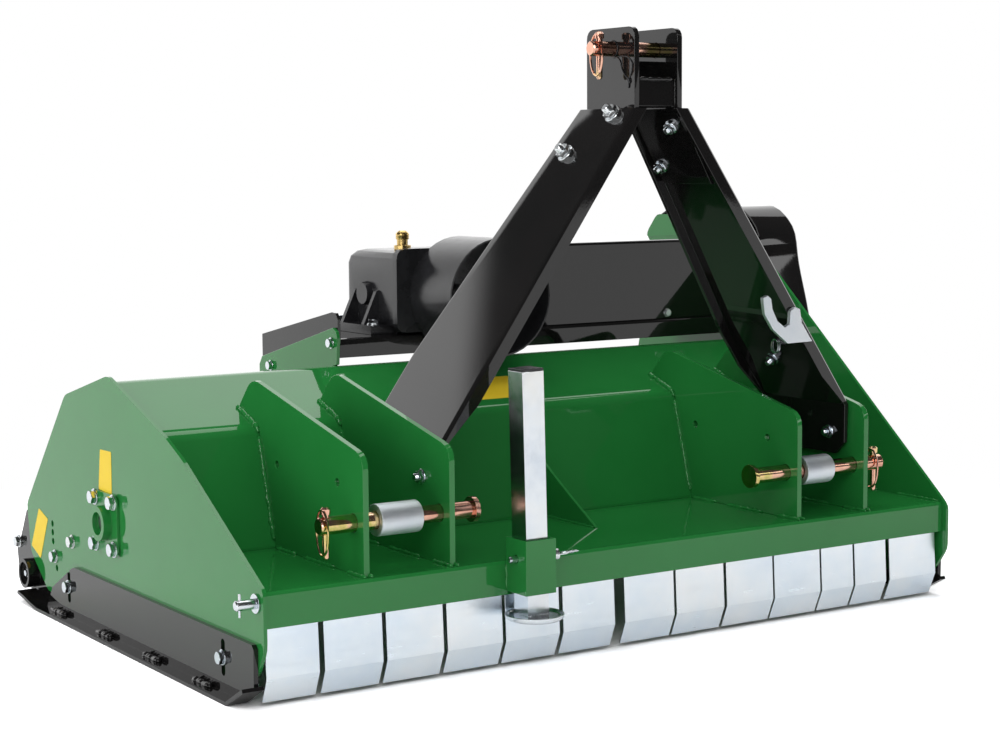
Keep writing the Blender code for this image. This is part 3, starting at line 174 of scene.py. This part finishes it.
def smoothing(angle):
    """Node group that joins split corners and keeps only the true edges sharp."""
    group = bpy.data.node_groups.new("joined_edges", "GeometryNodeTree")
    group.interface.new_socket("Geometry", in_out="INPUT", socket_type="NodeSocketGeometry")
    group.interface.new_socket("Geometry", in_out="OUTPUT", socket_type="NodeSocketGeometry")
    start = group.nodes.new("NodeGroupInput")
    merge = group.nodes.new("GeometryNodeMergeByDistance")
    merge.inputs["Distance"].default_value = JOIN_DISTANCE
    normal = group.nodes.new("GeometryNodeSetMeshNormal")
    normal.inputs["Remove Custom"].default_value = True
    edge = group.nodes.new("GeometryNodeInputMeshEdgeAngle")
    sharp = group.nodes.new("FunctionNodeCompare")
    sharp.inputs["B"].default_value = math.radians(angle)
    end = group.nodes.new("NodeGroupOutput")
    group.links.new(start.outputs["Geometry"], merge.inputs["Geometry"])
    group.links.new(merge.outputs["Geometry"], normal.inputs["Mesh"])
    group.links.new(edge.outputs["Unsigned Angle"], sharp.inputs["A"])
    group.links.new(sharp.outputs["Result"], normal.inputs["Edge Sharpness"])
    group.links.new(normal.outputs["Mesh"], end.inputs["Geometry"])
    return group


def dress_nodes():
    """Give every solid its finish, smooth its round faces and break its plain edges."""
    round_faces, folded_sheet = smoothing(28.0), smoothing(13.0)
    for part in frame["record"]["subparts"]:
        node = part["node"]
        obj = NODES[node]
        mat = FINISH[part["material_slot"]]
        group = round_faces
        if node.startswith("flap_") and node != "flap_rod":
            mat = FLAP_ZINC
            group = folded_sheet
        if node.startswith("spacer") or node == "pto_hook":
            mat = TUBE_ZINC
        obj.data.materials.clear()
        obj.data.materials.append(mat)
        join = obj.modifiers.new("joined_edges", "NODES")
        join.node_group = group
        bevel = obj.modifiers.new("edge", "BEVEL")
        bevel.width = EDGE_BEVEL
        bevel.segments = 2
        bevel.limit_method = "ANGLE"
        bevel.angle_limit = math.radians(40)
        flat = obj.modifiers.new("flat_faces", "WEIGHTED_NORMAL")
        flat.mode = "FACE_AREA"
        flat.weight = 100
        flat.keep_sharp = True


dress_nodes()


# Shared sizes of the drawing: outer face of the side plates, the mast bars' webs as X at the
# floor and slope, the clevis plates, and the front panel's profile in (Y, Z) at them

PLATE = 0.698
LEFT_BAR = (-0.6145, 0.7107)
RIGHT_BAR = (0.7545, -0.7000)
BAR_BEND_Z = 0.367
BAR_T = 0.0098
BAR_TOP = 0.8925
HITCH_X = (-0.518, -0.364, 0.351, 0.5076)
HITCH_T = 0.010
PANEL = [(0.3095, 0.186), (0.3645, 0.3735), (0.436, 0.3985)]
SHELF_Z = 0.1788
HOOD_BEND = (0.365, 0.373)
HOOD_PEAK = (0.567, 0.443)


def bar_x(left, z):
    """Outer face of a mast bar's web; below its bend the bar stands upright."""
    z = max(z, BAR_BEND_Z)
    return LEFT_BAR[0] + LEFT_BAR[1] * z if left else RIGHT_BAR[0] + RIGHT_BAR[1] * z + BAR_T


def bar_out(left):
    """Way that a mast bar's web faces."""
    out = (-1.0, 0.0, LEFT_BAR[1]) if left else (1.0, 0.0, -RIGHT_BAR[1])
    return Vector(out).normalized()


# Mesh helpers


def bridge(bm, low, high):
    """Band of faces between two rings of as many points."""
    count = len(low)
    for i in range(count):
        j = (i + 1) % count
        bm.faces.new((low[i], low[j], high[j], high[i]))


def finish_piece(bm, name, mat, body="frame", angle=35.0):
    """Turn the mesh into a piece that rides on a body and takes its finish."""
    bmesh.ops.recalc_face_normals(bm, faces=bm.faces)
    mesh = bpy.data.meshes.new(name)
    bm.to_mesh(mesh)
    bm.free()
    mesh.materials.append(mat)
    mesh.shade_smooth()
    mesh.set_sharp_from_angle(angle=math.radians(angle))
    obj = bpy.data.objects.new(name, mesh)
    bpy.context.scene.collection.objects.link(obj)
    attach(obj, body)


def turns(count):
    """Angles of a ring's points."""
    return [2.0 * math.pi * i / count for i in range(count)]


def round_vert(bm, origin, turned, radius, t, reach):
    """Vertex by its radius, its angle and its distance along a turned axis."""
    point = Vector((radius * math.cos(t), radius * math.sin(t), reach))
    return bm.verts.new(origin + turned @ point)


def stack(bm, origin, axis, rows, count):
    """Round solid through (distance, radius) rows along an axis."""
    turned = Vector(axis).normalized().to_track_quat("Z", "Y").to_matrix()
    rings = [[round_vert(bm, origin, turned, radius, t, reach) for t in turns(count)]
             for reach, radius in rows]
    for low, high in zip(rings, rings[1:]):
        bridge(bm, low, high)
    bm.faces.new(list(reversed(rings[0])))
    bm.faces.new(rings[-1])


def hex_head(bm, origin, axis, radius, low, high):
    """Hexagon with its crown rounded off, as a turned chamfer leaves it."""
    turned = Vector(axis).normalized().to_track_quat("Z", "Y").to_matrix()
    half_flats = radius * math.cos(math.pi / 6)
    chamfer = 0.16 * radius

    def outline(reach, limit):
        ring = []
        for t in turns(24):
            across = half_flats / math.cos((t % (math.pi / 3)) - math.pi / 6)
            ring.append(round_vert(bm, origin, turned, min(across, limit), t, reach))
        return ring

    rings = [outline(low, radius), outline(high - chamfer, radius),
             outline(high - 0.3 * chamfer, radius * 0.955), outline(high, radius * 0.87)]
    for a, b in zip(rings, rings[1:]):
        bridge(bm, a, b)
    bm.faces.new(list(reversed(rings[0])))
    bm.faces.new(rings[-1])


def bolt(bm, point, axis, size=0.006, stud=0.0):
    """Washer, spring washer and hexagon over one fused head; a stud end makes it a nut."""
    out = Vector(axis).normalized()
    origin = at(*point)
    s = size
    top = 1.70 * s
    stack(bm, origin, out, [(-0.0005, 2.06 * s), (0.36 * s, 2.06 * s), (0.44 * s, 1.98 * s)], 32)
    stack(bm, origin, out, [(0.42 * s, 1.80 * s), (0.70 * s, 1.80 * s)], 28)
    hex_head(bm, origin, out, 1.78 * s, 0.72 * s, top)
    if stud:
        rows = [(1.6 * s, 0.86 * s)]
        threads = 5
        for k in range(threads):
            base = top + stud * k / threads
            rows += [(base, 0.92 * s), (base + 0.4 * stud / threads, 1.0 * s)]
        rows += [(top + stud, 0.92 * s), (top + stud + 0.15 * s, 0.75 * s)]
        stack(bm, origin, out, rows, 20)


def bolts(name, places, size=0.006, stud=0.0):
    """Piece of like bolts; size is the thread's radius, stud the length that stands out."""
    bm = bmesh.new()
    for point, axis in places:
        bolt(bm, point, axis, size, stud)
    finish_piece(bm, name, ZINC, angle=28.0)


def tube(bm, points, radius, sides=8, closed=False):
    """Round bar along a path of world points; radius is a number or a function of the way along."""
    points = [Vector(p) for p in points]
    count = len(points)
    rings = []
    normal = None
    for i, p in enumerate(points):
        ahead = points[(i + 1) % count] if closed or i < count - 1 else p
        back = points[i - 1] if closed or i else p
        way = (ahead - back).normalized()
        if normal is None:
            normal = way.orthogonal().normalized()
        normal = (normal - way * normal.dot(way)).normalized()
        side = way.cross(normal)
        r = radius(i / max(1, count - 1)) if callable(radius) else radius
        rings.append([bm.verts.new(p + (normal * math.cos(t) + side * math.sin(t)) * r)
                      for t in turns(sides)])
    pairs = list(zip(rings, rings[1:])) + ([(rings[-1], rings[0])] if closed else [])
    for a, b in pairs:
        bridge(bm, a, b)
    if not closed:
        bm.faces.new(list(reversed(rings[0])))
        bm.faces.new(rings[-1])


def rounded_path(points, rounds=2):
    """Path with its corners cut off again and again, keeping both ends."""
    for _ in range(rounds):
        cut = [points[0]]
        for a, b in zip(points, points[1:]):
            cut += [a.lerp(b, 0.25), a.lerp(b, 0.75)]
        points = cut + [points[-1]]
    return points


WELD_STEP = 0.0035


def weld(bm, path, radius, seed):
    """Uneven weld bead, rippled along its length; seed makes each one different."""
    points = [at(*p) for p in path]
    fine = []
    for a, b in zip(points, points[1:]):
        steps = max(2, int((b - a).length / WELD_STEP))
        fine += [a.lerp(b, k / steps) for k in range(steps)]
    fine.append(points[-1])
    total = len(fine)

    def width(t):
        k = t * (total - 1)
        ripple = 0.16 * math.sin(k * 2.3) + 0.42 * noise.noise(Vector((seed, k * 0.31, 0.0)))
        ends = min(1.0, (k + 0.6) / 2.0, ((1.0 - t) * (total - 1) + 0.6) / 2.0)
        return radius * (1.0 + ripple) * ends

    drift = [p + Vector((noise.noise(Vector((seed + 3.0, i * 0.27, 1.0))),
                         noise.noise(Vector((seed + 5.0, i * 0.27, 2.0))),
                         noise.noise(Vector((seed + 7.0, i * 0.27, 3.0))))) * (0.35 * radius)
             for i, p in enumerate(fine)]
    tube(bm, drift, width, 7)


# Fasteners

LEFT, RIGHT, FRONT, UP = (-1, 0, 0), (1, 0, 0), (0, -1, 0), (0, 0, 1)
PLATE_BOLTS = [(0.743, 0.141), (0.829, 0.101)]
SKID_BOLTS = [(0.118, 0.060), (0.747, 0.060)]
MAST_BOLTS = [(0.0945, BAR_TOP - 0.0104), (0.1665, BAR_TOP - 0.0745)]
WING_BOLTS = [(0.102, BAR_TOP - 0.0300), (0.190, BAR_TOP - 0.0970)]
HOOK_BOLT = (0.185, 0.445)

bolts("arm_bolts_left", [((-PLATE, *p), LEFT) for p in PLATE_BOLTS])
bolts("arm_bolts_right", [((PLATE, *p), RIGHT) for p in PLATE_BOLTS])
bolts("skid_bolts_left", [((-PLATE - 0.008, *p), LEFT) for p in SKID_BOLTS])
bolts("skid_bolts_right", [((PLATE + 0.008, *p), RIGHT) for p in SKID_BOLTS])
bolts("bearing_bolts", [((-PLATE - 0.005, 0.580 + sy * 0.040, 0.199 + sz * 0.040), LEFT)
                        for sy in (-1, 1) for sz in (-1, 1)], 0.0068)
bolts("roller_arm_bolt", [((-0.6925, 1.030, 0.098), LEFT)])
bolts("mast_nuts", [((bar_x(True, z), y, z), bar_out(True)) for y, z in MAST_BOLTS], 0.0076, 0.008)
bolts("bracket_nuts", [((bar_x(False, z) - BAR_T - 0.0103, y, z), -bar_out(False))
                       for y, z in WING_BOLTS], 0.006, 0.005)
bolts("hook_nut", [((bar_x(False, HOOK_BOLT[1]) - BAR_T, *HOOK_BOLT), -bar_out(False))],
      0.006, 0.008)
bolts("foot_nuts", [((bar_x(False, 0.0) - BAR_T, 0.094, 0.3144), LEFT),
                    ((HITCH_X[1], 0.0945, 0.3095), LEFT)], 0.006, 0.005)
bolts("gearbox_bolts", [((x, y, 0.5045), UP) for x in (-0.137, 0.151) for y in (0.644, 0.780)])
bolts("bracket_bolts", [((-0.256, *p), LEFT) for p in ((0.589, 0.481), (0.832, 0.421))], 0.005)
bolts("cover_screws", [((x, 0.597, z), FRONT) for x, z in ((0.197, 0.500), (0.516, 0.500))], 0.004)
bolts("guard_bolt", [((PLATE - 0.006, 0.505, 0.600), LEFT)])

# Welds


# Beads at the foot of a clevis plate: where each starts and ends, its height, radius and seed
FOOT_BEADS = [(0.006, 0.066, 0.1792, 0.0036, 2), (0.105, 0.205, 0.1790, 0.0034, 4),
              (0.235, 0.304, 0.1790, 0.0036, 6)]
SOLE_STITCHES = (0.782, 0.575, 0.376, 0.183)
STITCH_HALF = 0.033


def hitch_welds():
    """Beads on both sides of each clevis plate, up the front panel and along the shelf."""
    bm = bmesh.new()
    a, b, c = PANEL
    for k, x in enumerate(HITCH_X):
        for side, face in ((0, x - 0.0008), (1, x + HITCH_T + 0.0008)):
            seed = 11.0 * k + 3.7 * side
            weld(bm, [(face, a[0] + 0.002, a[1] + 0.004), (face, b[0] - 0.005, b[1] - 0.016)],
                 0.0044, seed)
            weld(bm, [(face, b[0] - 0.004, b[1] - 0.010), (face, b[0] + 0.004, b[1] + 0.001),
                      (face, c[0] + 0.003, c[1] + 0.002)], 0.0052, seed + 1)
            for start, end, z, radius, shift in FOOT_BEADS:
                weld(bm, [(face, start, z), (face, end, z)], radius, seed + shift)
    finish_piece(bm, "hitch_welds", GREEN, angle=60.0)


def frame_welds():
    """Beads of the gusset rib, the side plates, the jack sleeve and the left bracket."""
    bm = bmesh.new()
    for x, seed in ((0.0142, 1.0), (0.0218, 2.0)):
        weld(bm, [(x, 0.155, SHELF_Z), (x, 0.300, SHELF_Z)], 0.0026, seed)
        weld(bm, [(x, 0.3115, 0.192), (x, 0.3405, 0.292)], 0.0026, seed + 5)
    for x, seed in ((-PLATE + 0.0065, 21.0), (PLATE - 0.0065, 27.0)):
        weld(bm, [(x, 0.010, SHELF_Z), (x, 0.120, SHELF_Z)], 0.0028, seed)
        weld(bm, [(x, 0.170, SHELF_Z), (x, 0.300, SHELF_Z)], 0.0028, seed + 1)
        weld(bm, [(x, 0.312, 0.195), (x, 0.360, 0.362)], 0.0028, seed + 2)
        weld(bm, [(x, 0.374, 0.3768), (x, 0.550, 0.4375)], 0.0026, seed + 3)
    for x, seed in ((-0.240 - 0.0282, 33.0), (-0.240 + 0.0282, 37.0)):
        weld(bm, [(x, -0.0012, 0.134), (x, -0.0012, 0.174)], 0.0024, seed)
    weld(bm, [(-0.266, -0.002, SHELF_Z), (-0.214, -0.002, SHELF_Z)], 0.0026, 41.0)
    for x, seed in ((-0.2568, 45.0), (-0.2494, 47.0)):
        weld(bm, [(x, 0.580, 0.4400), (x, 0.660, 0.4200)], 0.0026, seed)
        weld(bm, [(x, 0.690, 0.4124), (x, 0.755, 0.3962)], 0.0026, seed + 1)
    finish_piece(bm, "frame_welds", GREEN, angle=60.0)


def black_welds():
    """Stitches that hold the left sole, and beads of the top bracket's cross plate."""
    bm = bmesh.new()
    x = -PLATE - 0.0140
    for k, y in enumerate(SOLE_STITCHES):
        weld(bm, [(x, y - STITCH_HALF, 0.0072), (x, y + STITCH_HALF, 0.0072)], 0.0056, 51.0 + k)
    weld(bm, [(0.044, 0.0645, 0.9405), (0.1155, 0.0645, 0.9405)], 0.0034, 63.0)
    weld(bm, [(0.0402, 0.066, 0.898), (0.0402, 0.066, 0.938)], 0.0020, 65.0)
    weld(bm, [(0.1192, 0.066, 0.898), (0.1192, 0.066, 0.938)], 0.0020, 67.0)
    finish_piece(bm, "black_welds", BLACK, angle=60.0)


hitch_welds()
frame_welds()
black_welds()

# Plain yellow patches, with nothing on them


PATCH_T = 0.0004
PATCH_CORNER = 0.0025


def patch(bm, corners, normal):
    """Thin sheet through four corner points, with its corners rounded off."""
    n = Vector(normal).normalized() * PATCH_T
    pts = [at(*c) for c in corners]
    ring = []
    for i, p in enumerate(pts):
        a = (pts[i - 1] - p).normalized()
        b = (pts[(i + 1) % 4] - p).normalized()
        ring += [p + a * PATCH_CORNER, p + (a + b) * (0.3 * PATCH_CORNER), p + b * PATCH_CORNER]
    low = [bm.verts.new(p + n * 0.2) for p in ring]
    high = [bm.verts.new(p + n) for p in ring]
    bridge(bm, low, high)
    bm.faces.new(high)
    bm.faces.new(list(reversed(low)))


def patches():
    """Two on the left side plate and one on the hood."""
    bm = bmesh.new()
    x = -PLATE - 0.0001
    patch(bm, [(x, 0.605, 0.322), (x, 0.557, 0.323), (x, 0.558, 0.250), (x, 0.6155, 0.252)], LEFT)
    patch(bm, [(x, 0.907, 0.178), (x, 0.863, 0.164), (x, 0.905, 0.085), (x, 0.950, 0.103)], LEFT)
    slope = (HOOD_PEAK[1] - HOOD_BEND[1]) / (HOOD_PEAK[0] - HOOD_BEND[0])
    corners = [(x, y, HOOD_BEND[1] + slope * (y - HOOD_BEND[0]) + 0.0001)
               for x, y in ((-0.060, 0.392), (0.050, 0.392), (0.050, 0.475), (-0.060, 0.475))]
    patch(bm, corners, (0.0, -slope, 1.0))
    finish_piece(bm, "plain_yellow_patches", YELLOW, angle=30.0)


patches()


# Small fittings

TIE_RADIUS = 0.0011


def tether():
    """Thin tie looped over the top pin, its two strands meeting in a knot on the left ear."""
    bm = bmesh.new()
    x, pin_y, pin_z, r = 0.0291, 0.119, 0.991, 0.0140
    over = [at(x, pin_y + r * math.cos(t), pin_z + r * math.sin(t))
            for t in (math.radians(250.0 - 230.0 * k / 12) for k in range(13))]
    left = [at(x, *p) for p in ((0.0985, 0.9740), (0.0940, 0.9580), (0.0850, 0.9470),
                                (0.0750, 0.9405))]
    right = [at(x, *p) for p in ((0.1190, 0.9755), (0.0880, 0.9800), (0.0690, 0.9720),
                                 (0.0640, 0.9650), (0.0660, 0.9520), (0.0730, 0.9410))]
    tube(bm, rounded_path(list(reversed(left)) + over[:2]), TIE_RADIUS, 7)
    tube(bm, rounded_path(over), TIE_RADIUS, 7)
    tube(bm, rounded_path(list(reversed(right)) + over[:1]), TIE_RADIUS, 7)
    knot = at(x - 0.0006, 0.0738, 0.9385)
    stack(bm, knot + Vector((0.0, 0.0, 0.003)), (0.0, -0.2, -1.0),
          [(-0.001, 0.0016), (0.001, 0.0030), (0.006, 0.0032), (0.009, 0.0016)], 10)
    tail = [knot, knot + Vector((0.0, -0.001, -0.008)), knot + Vector((0.0, 0.001, -0.013))]
    tube(bm, rounded_path(tail), 0.0012, 7)
    finish_piece(bm, "pin_tether", PLASTIC, angle=60.0)


def hook_link():
    """Split ring between the hook and its bolt."""
    bm = bmesh.new()
    z = 0.470
    centre = at(bar_x(False, z) - BAR_T - 0.010, 0.150, z)
    for k, lift in enumerate((0.0, 0.0022)):
        ring = [centre + Vector((0.002 * k + lift, 0.0095 * math.cos(t), 0.0125 * math.sin(t)))
                for t in turns(24)]
        tube(bm, ring, 0.0013, 6, closed=True)
    finish_piece(bm, "hook_link", ZINC, angle=60.0)


def roller_end():
    """Small bolt in the middle of each roller cup."""
    bm = bmesh.new()
    for sign in (-1.0, 1.0):
        origin = at(sign * (PLATE + 0.0081), 0.955, 0.0503)
        hex_head(bm, origin, (sign, 0, 0), 0.0062, 0.0, 0.0050)
        stack(bm, origin, (sign, 0, 0), [(-0.0005, 0.0085), (0.0006, 0.0085), (0.0010, 0.0078)], 20)
    finish_piece(bm, "roller_end_bolts", ZINC, "roller", angle=28.0)


def breather_cap():
    """Breather body with ribs round its cap."""
    bm = bmesh.new()
    origin = at(-0.062, 0.662, 0.6413)
    stack(bm, origin, UP, [(0.0090, 0.0104), (0.0195, 0.0104), (0.0200, 0.0122), (0.0225, 0.0128),
                           (0.0235, 0.0122), (0.0255, 0.0128), (0.0265, 0.0122), (0.0285, 0.0128),
                           (0.0305, 0.0124), (0.0335, 0.0100), (0.0362, 0.0062)], 28)
    finish_piece(bm, "breather_cap", BRASS, angle=30.0)


tether()
hook_link()
roller_end()
breather_cap()


# Studio


def calculate(tree, operation, a, b=0.0, clamp=False):
    """One Math node; each input is a number or another node's output."""
    node = tree.nodes.new("ShaderNodeMath")
    node.operation = operation
    node.use_clamp = clamp
    for socket, value in zip(node.inputs, (a, b)):
        if isinstance(value, float):
            socket.default_value = value
        else:
            tree.links.new(value, socket)
    return node.outputs["Value"]


def along(tree, way, direction):
    """How far a ray points along a direction."""
    node = tree.nodes.new("ShaderNodeVectorMath")
    node.operation = "DOT_PRODUCT"
    node.inputs[1].default_value = direction
    tree.links.new(way, node.inputs[0])
    return node.outputs["Value"]


def soft_step(tree, value, low, high, strength=1.0):
    """Smooth rise from 0 at low to strength at high."""
    node = tree.nodes.new("ShaderNodeMapRange")
    node.interpolation_type = "SMOOTHSTEP"
    for name, number in (("From Min", low), ("From Max", high),
                         ("To Min", 0.0), ("To Max", strength)):
        node.inputs[name].default_value = number
    tree.links.new(value, node.inputs["Value"])
    return node.outputs["Result"]


def compass(azimuth, elevation=0.0):
    """Direction by its angle from the machine's back, turning right, and its height in degrees."""
    a, e = math.radians(azimuth), math.radians(elevation)
    return Vector((math.sin(a) * math.cos(e), math.cos(a) * math.cos(e), math.sin(e)))


def soft_box(tree, way, azimuth, elevation, width, height, strength):
    """Bright rectangle in the reflected room; width and height are half sizes in degrees."""
    ahead = compass(azimuth, elevation)
    side = compass(azimuth + 90.0)
    up = side.cross(ahead)
    depth = calculate(tree, "MAXIMUM", along(tree, way, ahead), 0.001)
    inside = soft_step(tree, along(tree, way, ahead), 0.0, 0.02, strength)
    for axis, half in ((side, width), (up, height)):
        limit = math.tan(math.radians(half))
        off = calculate(tree, "DIVIDE", calculate(tree, "ABSOLUTE", along(tree, way, axis)), depth)
        fade = soft_step(tree, off, limit * 1.06, limit * 0.94)
        inside = calculate(tree, "MULTIPLY", inside, fade)
    return inside


# The room that gloss mirrors: a white backdrop behind the machine, up to a height that grows with
# the way towards it, a dim ceiling, and bright boxes given by azimuth, elevation, half width and
# half height in degrees, and strength; ROOM_LIGHT is the plain light of all other rays

VIEW_AZIMUTH = 33.17
BACKDROP_RISE = 0.850
BACKDROP_GLOW = 1.8
CEILING_GLOW = 0.08
ROOM_LIGHT = 0.45
SOFT_BOXES = [(33.0, 74.0, 26.0, 14.0, 3.0), (54.0, 40.0, 26.0, 8.0, 1.9),
              (-124.0, 18.0, 9.0, 16.0, 7.0), (136.0, 19.0, 2.2, 5.0, 3.5)]


def studio_world():
    """Plain soft light, a white backdrop for the camera, and the mirrored room for gloss."""
    world = bpy.data.worlds.new("studio")
    world.use_nodes = True
    bpy.context.scene.world = world
    tree = world.node_tree
    way = tree.nodes.new("ShaderNodeTexCoord").outputs["Generated"]
    rise = calculate(tree, "MULTIPLY", along(tree, way, compass(VIEW_AZIMUTH)), BACKDROP_RISE)
    edge = calculate(tree, "SUBTRACT", rise, along(tree, way, (0.0, 0.0, 1.0)))
    room = calculate(tree, "ADD", soft_step(tree, edge, -0.010, 0.014, BACKDROP_GLOW), CEILING_GLOW)
    for box in SOFT_BOXES:
        room = calculate(tree, "MAXIMUM", room, soft_box(tree, way, *box))
    path = tree.nodes.new("ShaderNodeLightPath")
    plain = tree.nodes["Background"]
    plain.inputs["Color"].default_value = (0.97, 0.98, 1.0, 1.0)
    plain.inputs["Strength"].default_value = ROOM_LIGHT
    mirrored = tree.nodes.new("ShaderNodeBackground")
    tree.links.new(room, mirrored.inputs["Strength"])
    white = tree.nodes.new("ShaderNodeBackground")
    white.inputs["Color"].default_value = (1.0, 1.0, 1.0, 1.0)
    shader = plain.outputs["Background"]
    seen = calculate(tree, "ADD", path.outputs["Is Camera Ray"],
                     path.outputs["Is Transmission Ray"], True)
    for ray, other in ((path.outputs["Is Glossy Ray"], mirrored), (seen, white)):
        mix = tree.nodes.new("ShaderNodeMixShader")
        tree.links.new(ray, mix.inputs["Fac"])
        tree.links.new(shader, mix.inputs[1])
        tree.links.new(other.outputs["Background"], mix.inputs[2])
        shader = mix.outputs["Shader"]
    tree.links.new(shader, tree.nodes["World Output"].inputs["Surface"])


# Half width of the floor, what gloss gets of the near floor's lift, what the far floor glows more
# in gloss, and the distances between which near turns into far

FLOOR_SIZE = 30.0
FLOOR_LIFT = 0.16
FAR_FLOOR_EXTRA = 0.16
FAR_FLOOR = (1.15, 1.80)


def studio_floor():
    """Pale floor that keeps the shadow near the machine and runs into the white further out.

    Near the machine the camera sees it lifted to white, and gloss mirrors a share of that lift.
    """
    mesh = bpy.data.meshes.new("studio_floor")
    corners = [(x * FLOOR_SIZE, y * FLOOR_SIZE, 0.0)
               for x, y in ((-1, -1), (1, -1), (1, 1), (-1, 1))]
    mesh.from_pydata(corners, [], [(0, 1, 2, 3)])
    obj = bpy.data.objects.new("studio_floor", mesh)
    bpy.context.scene.collection.objects.link(obj)
    mat, tree, shader = new_material("studio_floor")
    shader.inputs["Base Color"].default_value = (0.95, 0.95, 0.95, 1.0)
    shader.inputs["Roughness"].default_value = 0.9
    shader.inputs["Specular IOR Level"].default_value = 0.0
    path = tree.nodes.new("ShaderNodeLightPath")
    through = calculate(tree, "ADD", path.outputs["Is Camera Ray"],
                        path.outputs["Is Transmission Ray"], True)
    looking = calculate(tree, "ADD", through, path.outputs["Is Glossy Ray"], True)
    part_lift = calculate(tree, "MULTIPLY", path.outputs["Is Glossy Ray"], FLOOR_LIFT)
    bright = tree.nodes.new("ShaderNodeBsdfDiffuse")
    bright.inputs["Color"].default_value = (1.0, 1.0, 1.0, 1.0)
    lift = tree.nodes.new("ShaderNodeMixShader")
    tree.links.new(calculate(tree, "ADD", through, part_lift, True), lift.inputs["Fac"])
    tree.links.new(bright.outputs["BSDF"], lift.inputs[2])
    both = tree.nodes.new("ShaderNodeAddShader")
    tree.links.new(shader.outputs["BSDF"], both.inputs[0])
    tree.links.new(lift.outputs["Shader"], both.inputs[1])
    glow = tree.nodes.new("ShaderNodeEmission")
    mirrored = calculate(tree, "MULTIPLY", path.outputs["Is Glossy Ray"], FAR_FLOOR_EXTRA)
    tree.links.new(calculate(tree, "ADD", mirrored, 1.0), glow.inputs["Strength"])
    place = tree.nodes.new("ShaderNodeTexCoord").outputs["Object"]
    length = tree.nodes.new("ShaderNodeVectorMath")
    length.operation = "LENGTH"
    tree.links.new(place, length.inputs[0])
    outside = soft_step(tree, length.outputs["Value"], *FAR_FLOOR)
    seen = tree.nodes.new("ShaderNodeMixShader")
    tree.links.new(outside, seen.inputs["Fac"])
    tree.links.new(both.outputs["Shader"], seen.inputs[1])
    tree.links.new(glow.outputs["Emission"], seen.inputs[2])
    mix = tree.nodes.new("ShaderNodeMixShader")
    tree.links.new(looking, mix.inputs["Fac"])
    tree.links.new(shader.outputs["BSDF"], mix.inputs[1])
    tree.links.new(seen.outputs["Shader"], mix.inputs[2])
    tree.links.new(mix.outputs["Shader"], tree.nodes["Material Output"].inputs["Surface"])
    mesh.materials.append(mat)


def soft_light(name, place, aim, size, power):
    """Large lamp that lights the machine and isn't seen or mirrored itself."""
    data = bpy.data.lights.new(name, "AREA")
    data.shape = "RECTANGLE"
    data.size, data.size_y = size
    data.energy = power
    obj = bpy.data.objects.new(name, data)
    obj.location = place
    obj.rotation_mode = "QUATERNION"
    obj.rotation_quaternion = (Vector(aim) - Vector(place)).to_track_quat("-Z", "Y")
    obj.visible_camera = False
    obj.visible_glossy = False
    bpy.context.scene.collection.objects.link(obj)


CAMERA_PLACE = (-2.0137, -2.6568, 0.8085)
CAMERA_TURN = (33.169, -6.018, -0.387)
LENS = 73.458


def camera():
    """Camera of the photograph; its turn is yaw, pitch and roll in degrees."""
    yaw, pitch, roll = (math.radians(angle) for angle in CAMERA_TURN)
    ahead = Vector((math.sin(yaw) * math.cos(pitch), math.cos(yaw) * math.cos(pitch),
                    math.sin(pitch)))
    right = Vector((math.cos(yaw), -math.sin(yaw), 0.0))
    up = right.cross(ahead)
    r = right * math.cos(roll) + up * math.sin(roll)
    u = up * math.cos(roll) - right * math.sin(roll)
    data = bpy.data.cameras.new("camera")
    data.lens = LENS
    data.sensor_width = 36.0
    data.clip_end = 100.0
    obj = bpy.data.objects.new("camera", data)
    turn = Matrix((r, u, -ahead)).transposed()
    obj.matrix_world = Matrix.Translation(at(*CAMERA_PLACE)) @ turn.to_4x4()
    bpy.context.scene.collection.objects.link(obj)
    bpy.context.scene.camera = obj


studio_world()
studio_floor()
soft_light("top", (0.2, 0.6, 3.6), (0.0, 0.1, 0.3), (4.0, 3.0), 55.0)
soft_light("key", (-2.2, -3.6, 2.8), (0.0, 0.0, 0.3), (2.4, 2.4), 60.0)
soft_light("left", (-4.2, 0.6, 1.6), (0.0, 0.3, 0.3), (2.4, 2.4), 62.0)
camera()
bpy.context.scene.view_settings.view_transform = "Standard"
